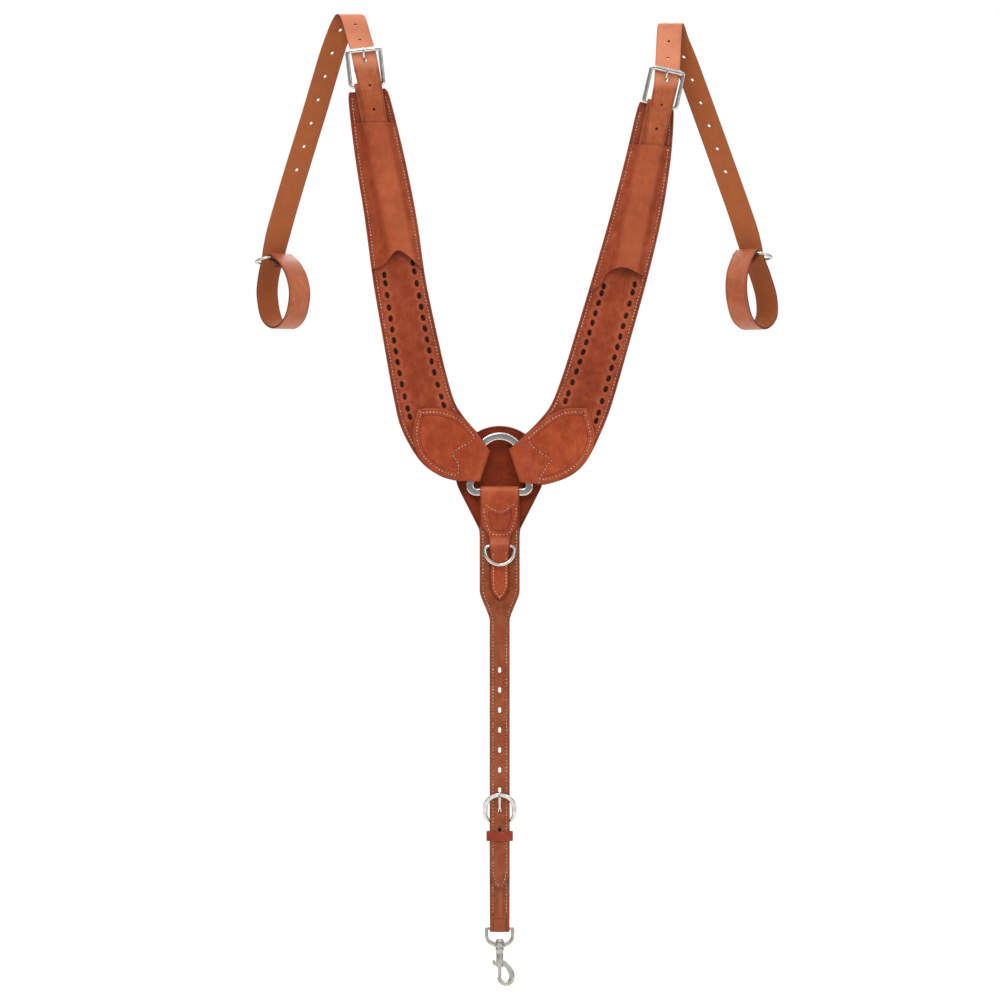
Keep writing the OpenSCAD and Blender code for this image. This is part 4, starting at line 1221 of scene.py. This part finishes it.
def ring_safe():
    """Dark round shield that keeps the ring off the horse."""
    loop = smooth_loop(silhouette("ring_safe"), 3.0)
    section = catmull([(13.5, 60), (13.5, 30), (13.5, 0), (13.3, -24), (11.5, -36), (9.2, -45),
                       (7.6, -54), (7.5, -66), (7.1, -78), (5.8, -88), (4.8, -97), (4.7, -118)], 5)
    place = hung(section)
    leather("ring_safe", loop, place, SAFE_T, "down_strap", DARK_LEATHER,
            spacing=4.0, grooves=((2.6, 0.4),))


def ring_tab():
    """Tab folded round the ring's bottom bar, shield-shaped above the dee and a strip below."""
    bend = catmull([(4, -76), (4, -62), (4, -50), (5.2, -43), (6.3, -36), (5.4, -32.5),
                    (3.1, -30.3), (0, -29.45), (-3.1, -30.3), (-5.4, -32.5), (-6.3, -36),
                    (-5.2, -43), (-4, -50), (-4, -62), (-4, -80), (-4, -92), (-5.6, -97),
                    (-8, -101), (-8.7, -104), (-8, -107), (-5.6, -112), (-4, -117), (-4, -130),
                    (-4, -150), (-4, -174)], 4)
    ribbon = Ribbon(side_on(bend), (1, 0, 0))
    top = int(np.argmax(bend[:, 1]))

    def down(z):
        return np.interp(-np.asarray(z, float), -bend[top:, 1], ribbon.s[top:])

    half = catmull([(25, -40), (25, -60), (25, -72), (23, -80), (16.5, -90), (14, -96),
                    (13, -106), (12.7, -118), (12.7, -150), (11.5, -159), (7, -168), (0, -174)], 5)
    right = np.column_stack([half[:, 0], down(half[:, 1])])
    back = np.array([(24.4, 0), (25, 8), (25, 20), (25, 32)])
    side = np.concatenate([back, right])
    loop = np.concatenate([side, mirrored(side)[1:]])
    loop = smooth_loop(loop, 2.0)
    shield = catmull([(x, down(z)) for x, z in
                      [(-20, -55), (-19.5, -64), (-18, -72), (-14.5, -82), (-10, -88.5), (0, -90),
                       (11, -88.5), (15.5, -82), (19, -72), (20.5, -64), (21, -55)]], 4)
    vee = catmull([(x, down(z)) for x, z in
                   [(-18.5, -51), (-11, -56), (-4, -60), (0, -61), (5, -60), (12, -55), (19, -50)]], 4)
    panel = np.array([(x, down(z)) for x, z in
                      [(-14, -59), (-5, -64), (0, -65), (6, -64), (15, -58), (15, -68), (13, -77),
                       (9, -84), (0, -85.5), (-8, -84), (-12, -77), (-14, -68)]])
    panel = smooth_loop(panel, 1.5, corner=70)

    def relief(flat):
        seams = np.minimum(line_distance(flat, shield), line_distance(flat, vee))
        sewn = np.exp(-(seams / 1.0) ** 2)
        border = np.exp(-(distance_to(panel, flat) / 0.9) ** 2)
        sunk = inside(panel, flat)
        fold = np.exp(-((flat[:, 1] - ribbon.s[top]) / 11) ** 2)
        bulge = np.exp(-((flat[:, 1] - down(-101)) / 4) ** 2)
        # Painted shade in the seam grooves, the groove round the panel and the sunk panel; painted
        # highlight on the fold over the ring and the bulge over the dee.
        raised = -0.3 * sewn - 0.5 * border - 0.35 * sunk
        return raised, np.maximum(0.8 * border, 0.4 * sewn) + 0.25 * sunk, 0.8 * fold + 0.5 * bulge

    lines = np.arange(1.0, ribbon.s[-1], 1.6)
    leather("ring_tab", loop, ribbon, OVERLAY_T, "down_strap", RUSSET,
            spacing=1.7, lines=lines, grooves=((1.6, 0.25),), relief=relief)
    height = OVERLAY_T / 2
    stitches("ring_tab_vee", vee, ribbon, height, "down_strap")
    stitches("ring_tab_shield", shield, ribbon, height, "down_strap")
    below_dee = down(-112)
    seam("ring_tab_strip_seam", loop, ribbon, height, "down_strap", inset_by=4.6,
         where=lambda spots: spots[:, 1] > below_dee)


def keeper():
    """Slip loop of leather round both straps."""
    path = rounded_path([(-15.8, -4.3), (15.8, -4.3), (15.8, 9.4), (-15.8, 9.4)], [2.0] * 4)
    path = evenly_closed(path, 1.2)
    path = np.column_stack([path, np.full(len(path), KEEPER_Z)])
    tube("strap_keeper", path, 1.0, KEEPER_RUSSET, "keeper", (0, 0, 1), closed=True,
         heights=6.0, sides=28, power=5.0)


def snap_strap():
    """Strap folded round the buckle's heel bar above and the snap's eye below."""
    bend = catmull([(5.0, -566), (4.9, -576), (4.1, -582), (2.6, -586.5), (1.9, -590.2),
                    (2.9, -593), (5.5, -594.0), (8.1, -593), (9.1, -590.2), (8.2, -585),
                    (6.9, -578), (6.7, -560), (6.7, -520), (6.7, -480), (6.9, -468), (9.0, -461),
                    (11.2, -456.5), (10.6, -452.9), (7.8, -451.4), (5.2, -452.6), (4.3, -455.5),
                    (4.3, -462), (4.3, -480), (4.3, -520), (4.3, -560), (4.3, -577.5)], 4)
    ribbon = Ribbon(side_on(bend), (1, 0, 0))
    total = ribbon.s[-1]
    heel_s = ribbon.s[int(np.argmax(bend[:, 1]))]
    narrow = catmull([(12.7, heel_s - 16), (12.2, heel_s - 12), (9, heel_s - 8), (9, heel_s),
                      (9, heel_s + 8), (12.2, heel_s + 12), (12.7, heel_s + 16)], 5)
    side = np.concatenate([[(12.5, 0)], narrow, [(12.7, total)]])
    loop = np.concatenate([side, mirrored(side)])
    loop = smooth_loop(loop, 2.4, corner=50)
    slot = slot_loop((0, heel_s), 5.2, 18)

    def relief(flat):
        keel = np.exp(-((flat[:, 0] - 0.8) / 1.3) ** 2) * (flat[:, 1] > total - 60)
        return 0.3 * keel, np.zeros(len(flat)), 0.7 * keel

    lines = np.unique(np.concatenate([np.arange(1, total, 3.0), np.arange(8, 60, 1.2),
                                      np.arange(heel_s - 16, heel_s + 16, 1.0)]))
    leather("snap_strap", loop, ribbon, OVERLAY_T, "down_strap", BROWN_RUSSET,
            holes=[slot], spacing=3.0, lines=lines, grooves=((DOWN_SEAM_IN, 0.25),), relief=relief,
            grooved=lambda spots: np.abs(spots[:, 0]) > 7.5)
    seam("snap_strap_seam", loop, ribbon, OVERLAY_T / 2, "down_strap", inset_by=DOWN_SEAM_IN,
         where=lambda spots: (np.abs(spots[:, 0]) > 7)
         & (spots[:, 1] > heel_s + 18) & (spots[:, 1] < total - DOWN_SEAM_IN - 1)
         | (spots[:, 1] > 66) & (spots[:, 1] < heel_s - 18))


# ---------- bolt snap ----------

def snap_eye():
    """Eye that the snap strap is folded round, with the hub that the stud turns in."""
    half = [(16.6, -590.4), (16.6, -596), (16.4, -601), (15.2, -604.8), (12.5, -607.6),
            (9, -609.4), (6, -610.8), (3.6, -611.9)]
    bar = [(x, -590.4) for x in np.linspace(14, -14, 9)]
    path = catmull(half[::-1], 4)[:-1]
    outline = np.concatenate([path, [(16.2, -590.0)], bar, [(-16.2, -590.0)], mirrored(path)])
    outline = evenly(outline, 1.4)
    drop = np.clip((-602 - outline[:, 1]) / 8, 0, 1)
    tube("snap_eye", facing(outline, SNAP_Y), 2.2 + 0.9 * drop, SATIN, "snap_eye",
         (0, 1, 0), heights=2.0 + 0.6 * drop, power=2.4)
    hub = [(3.1, 0), (5.0, 0), (5.6, 0.6), (5.9, 3.6), (5.6, 5.2), (4.8, 6.0), (3.1, 6.0)]
    turned("snap_hub", hub, (0, SNAP_Y, -614.6), (0, 0, 1), SATIN, "snap_eye",
           closed=True)


def snap_hook():
    """Stud that turns in the eye, the slotted barrel under it and the cast hook."""
    stud = [(0.4, -0.3), (3.0, 0), (3.0, 6.7), (4.6, 6.8), (5.2, 7.6), (5.0, 9.2), (4.2, 10.7),
            (2.6, 11.7), (0.4, 12.1)]
    turned("snap_swivel_stud", stud, (0, SNAP_Y, SWIVEL_Z), (0, 0, 1), SATIN, "snap_hook")

    barrel = [(0.5, 0), (4.9, 0), (5.5, -0.5), (5.5, -2.4), (5.1, -3.6), (4.75, -5), (4.7, -8.2),
              (0.5, -8.2)]
    turned("snap_hook_body", barrel, (0, SNAP_Y, SWIVEL_Z), (0, 0, 1), SATIN, "snap_hook")
    outer_r, inner_r, slit_half_w = 4.7, 2.45, 1.6
    outer_gap = math.degrees(math.asin(slit_half_w / outer_r))
    inner_gap = math.degrees(math.asin(slit_half_w / inner_r))
    cee = np.concatenate([arc((0, 0), outer_r, 180 + outer_gap, 540 - outer_gap, 40),
                          arc((0, 0), inner_r, 540 - inner_gap, 180 + inner_gap, 24)])

    def barrel_place(flat):
        return np.stack([flat[:, 0], SNAP_Y - flat[:, 1], -631.2 + flat[:, 2]], 1)

    leather("snap_barrel", cee, barrel_place, 16.6, "snap_hook", SATIN,
            spacing=3.0, grooves=(), edge=0.4)
    hook = catmull([(2.2, -631.6), (4.6, -633.4), (7.4, -635.9), (10.4, -639.2), (13.2, -643.4),
                    (15.1, -648), (15.5, -652.4), (14.3, -656.8), (11.2, -659.6), (7.3, -660.2),
                    (3.4, -659.2), (0.6, -656.6), (-0.7, -653.6), (-0.9, -652.2)], 5)
    hook = evenly(hook, 0.9)
    girth = tapering(hook, [0, 0.12, 0.35, 0.6, 0.8, 0.96, 1], [2.5, 3.0, 3.6, 3.6, 3.3, 2.7, 2.3])
    tube("snap_hook", facing(hook, SNAP_Y), girth, SATIN, "snap_hook", (0, 1, 0),
         heights=0.94 * girth, sides=28)


def snap_bolt():
    """Sliding bolt with its thumb lever, and the coil spring above it."""
    bolt = [(0.3, 0), (1.9, 0), (2.3, 0.5), (2.3, 19.7), (2.0, 20.2), (0.3, 20.2)]
    turned("snap_bolt", bolt, (0, SNAP_Y, -651.8), (0, 0, 1), SATIN, "snap_bolt")
    lever = catmull([(-1.2, -636.4), (-3.8, -636.2), (-6.0, -636.4), (-7.1, -634.6),
                     (-7.2, -631.6), (-7.0, -630.7)], 5)
    widths = tapering(lever, [0, 0.4, 0.6, 0.9, 1], [1.2, 1.4, 2.0, 1.9, 1.0])
    tube("snap_lever", facing(lever, SNAP_Y), widths, SATIN, "snap_bolt", (0, 1, 0),
         heights=np.minimum(widths, 1.3), power=2.4)

    coils, coil_r = 9, 1.85
    turns = np.linspace(0, coils * 2 * math.pi, coils * 16)
    coil = np.column_stack([coil_r * np.cos(turns), SNAP_Y + coil_r * np.sin(turns),
                            np.linspace(-630.6, -619.4, len(turns))])
    spring = tube("snap_spring", coil, 0.33, SPRING, "snap_hook", (0, 0, 1), sides=8)
    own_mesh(spring)


for side in SIDES:
    outline = shoulder_body(side)
    sleeve(side, outline)
    shoulder_tab(side)
    chape(side)
    roller_buckle(side)
    tug_strap(side)
    tug_ring(side)
centre_ring()
ring_safe()
down_strap()
ring_tab()
tie_dee()
down_buckle()
keeper()
snap_strap()
snap_eye()
snap_hook()
snap_bolt()


# ---------- stage, light and camera ----------

def make_stage():
    """Near-white floor below the snap."""
    floor = bpy.data.meshes.new("floor")
    size, z = 2.6, -0.74
    floor.from_pydata([(-size, -size, z), (size, -size, z), (size, size, z), (-size, size, z)], [],
                      [(0, 1, 2, 3)])
    piece = bpy.data.objects.new("floor", floor)
    bpy.context.scene.collection.objects.link(piece)
    material, shader = start_material("floor_paint")
    tree = Tree(material)
    tree.link(tree.ramp(tree.noise(3), [(0.3, (0.93, 0.93, 0.93)), (0.7, (0.96, 0.96, 0.96))]),
              shader.inputs["Base Color"])
    shader.inputs["Roughness"].default_value = 0.7
    floor.materials.append(material)


def make_light(name, place, aim, size, power):
    """A square area light at a place, turned to shine at a point."""
    data = bpy.data.lights.new(name, "AREA")
    data.size = size
    data.energy = power
    lamp = bpy.data.objects.new(name, data)
    lamp.location = place
    direction = np.array(aim, float) - np.array(place, float)
    horizontal = math.hypot(direction[0], direction[1])
    lamp.rotation_euler = (math.pi / 2 + math.atan2(direction[2], horizontal), 0,
                           math.atan2(direction[1], direction[0]) - math.pi / 2)
    bpy.context.scene.collection.objects.link(lamp)


def make_world():
    """Soft studio surround: bright above, greyer towards the horizon, plain white to the camera."""
    world = bpy.data.worlds.new("studio")
    world.use_nodes = True
    nodes, links = world.node_tree.nodes, world.node_tree.links
    direction = nodes.new("ShaderNodeTexCoord")
    split = nodes.new("ShaderNodeSeparateXYZ")
    links.new(direction.outputs["Generated"], split.inputs[0])
    ramp = nodes.new("ShaderNodeValToRGB")
    stops = ramp.color_ramp.elements
    stops.new(0.5)
    for stop, (height, grey) in zip(stops, [(0.0, 0.30), (0.3, 0.52), (0.7, 1.0)]):
        stop.position = height
        stop.color = (grey, grey, grey, 1)
    links.new(split.outputs["Z"], ramp.inputs["Fac"])
    surround = nodes["Background"]
    surround.inputs["Strength"].default_value = 1.15
    links.new(ramp.outputs["Color"], surround.inputs["Color"])
    white = nodes.new("ShaderNodeBackground")
    white.inputs["Color"].default_value = (1, 1, 1, 1)
    path = nodes.new("ShaderNodeLightPath")
    mix = nodes.new("ShaderNodeMixShader")
    links.new(path.outputs["Is Camera Ray"], mix.inputs["Fac"])
    links.new(surround.outputs["Background"], mix.inputs[1])
    links.new(white.outputs["Background"], mix.inputs[2])
    links.new(mix.outputs["Shader"], nodes["World Output"].inputs["Surface"])
    bpy.context.scene.world = world


def make_camera():
    """Long lens level with the middle of the collar: the picture is 1.27 m wide at the ring."""
    data = bpy.data.cameras.new("camera")
    distance, width = 6.0, 1.27
    data.sensor_width = 36
    data.lens = data.sensor_width * distance / width
    data.clip_end = 50
    camera = bpy.data.objects.new("camera", data)
    camera.location = (0.0004, -distance, -0.0457)
    camera.rotation_euler = (math.pi / 2, 0, 0)
    bpy.context.scene.collection.objects.link(camera)
    bpy.context.scene.camera = camera


make_stage()
make_light("key", (-0.7, -2.0, 2.2), (0, 0, 0.1), 1.5, 38)
make_light("fill", (1.8, -2.0, 0.5), (0, 0, 0), 1.3, 12)
make_light("rim", (0.2, 2.2, 1.8), (0, 0, 0.1), 1.4, 26)
make_world()
make_camera()
bpy.context.scene.view_settings.view_transform = "Standard"
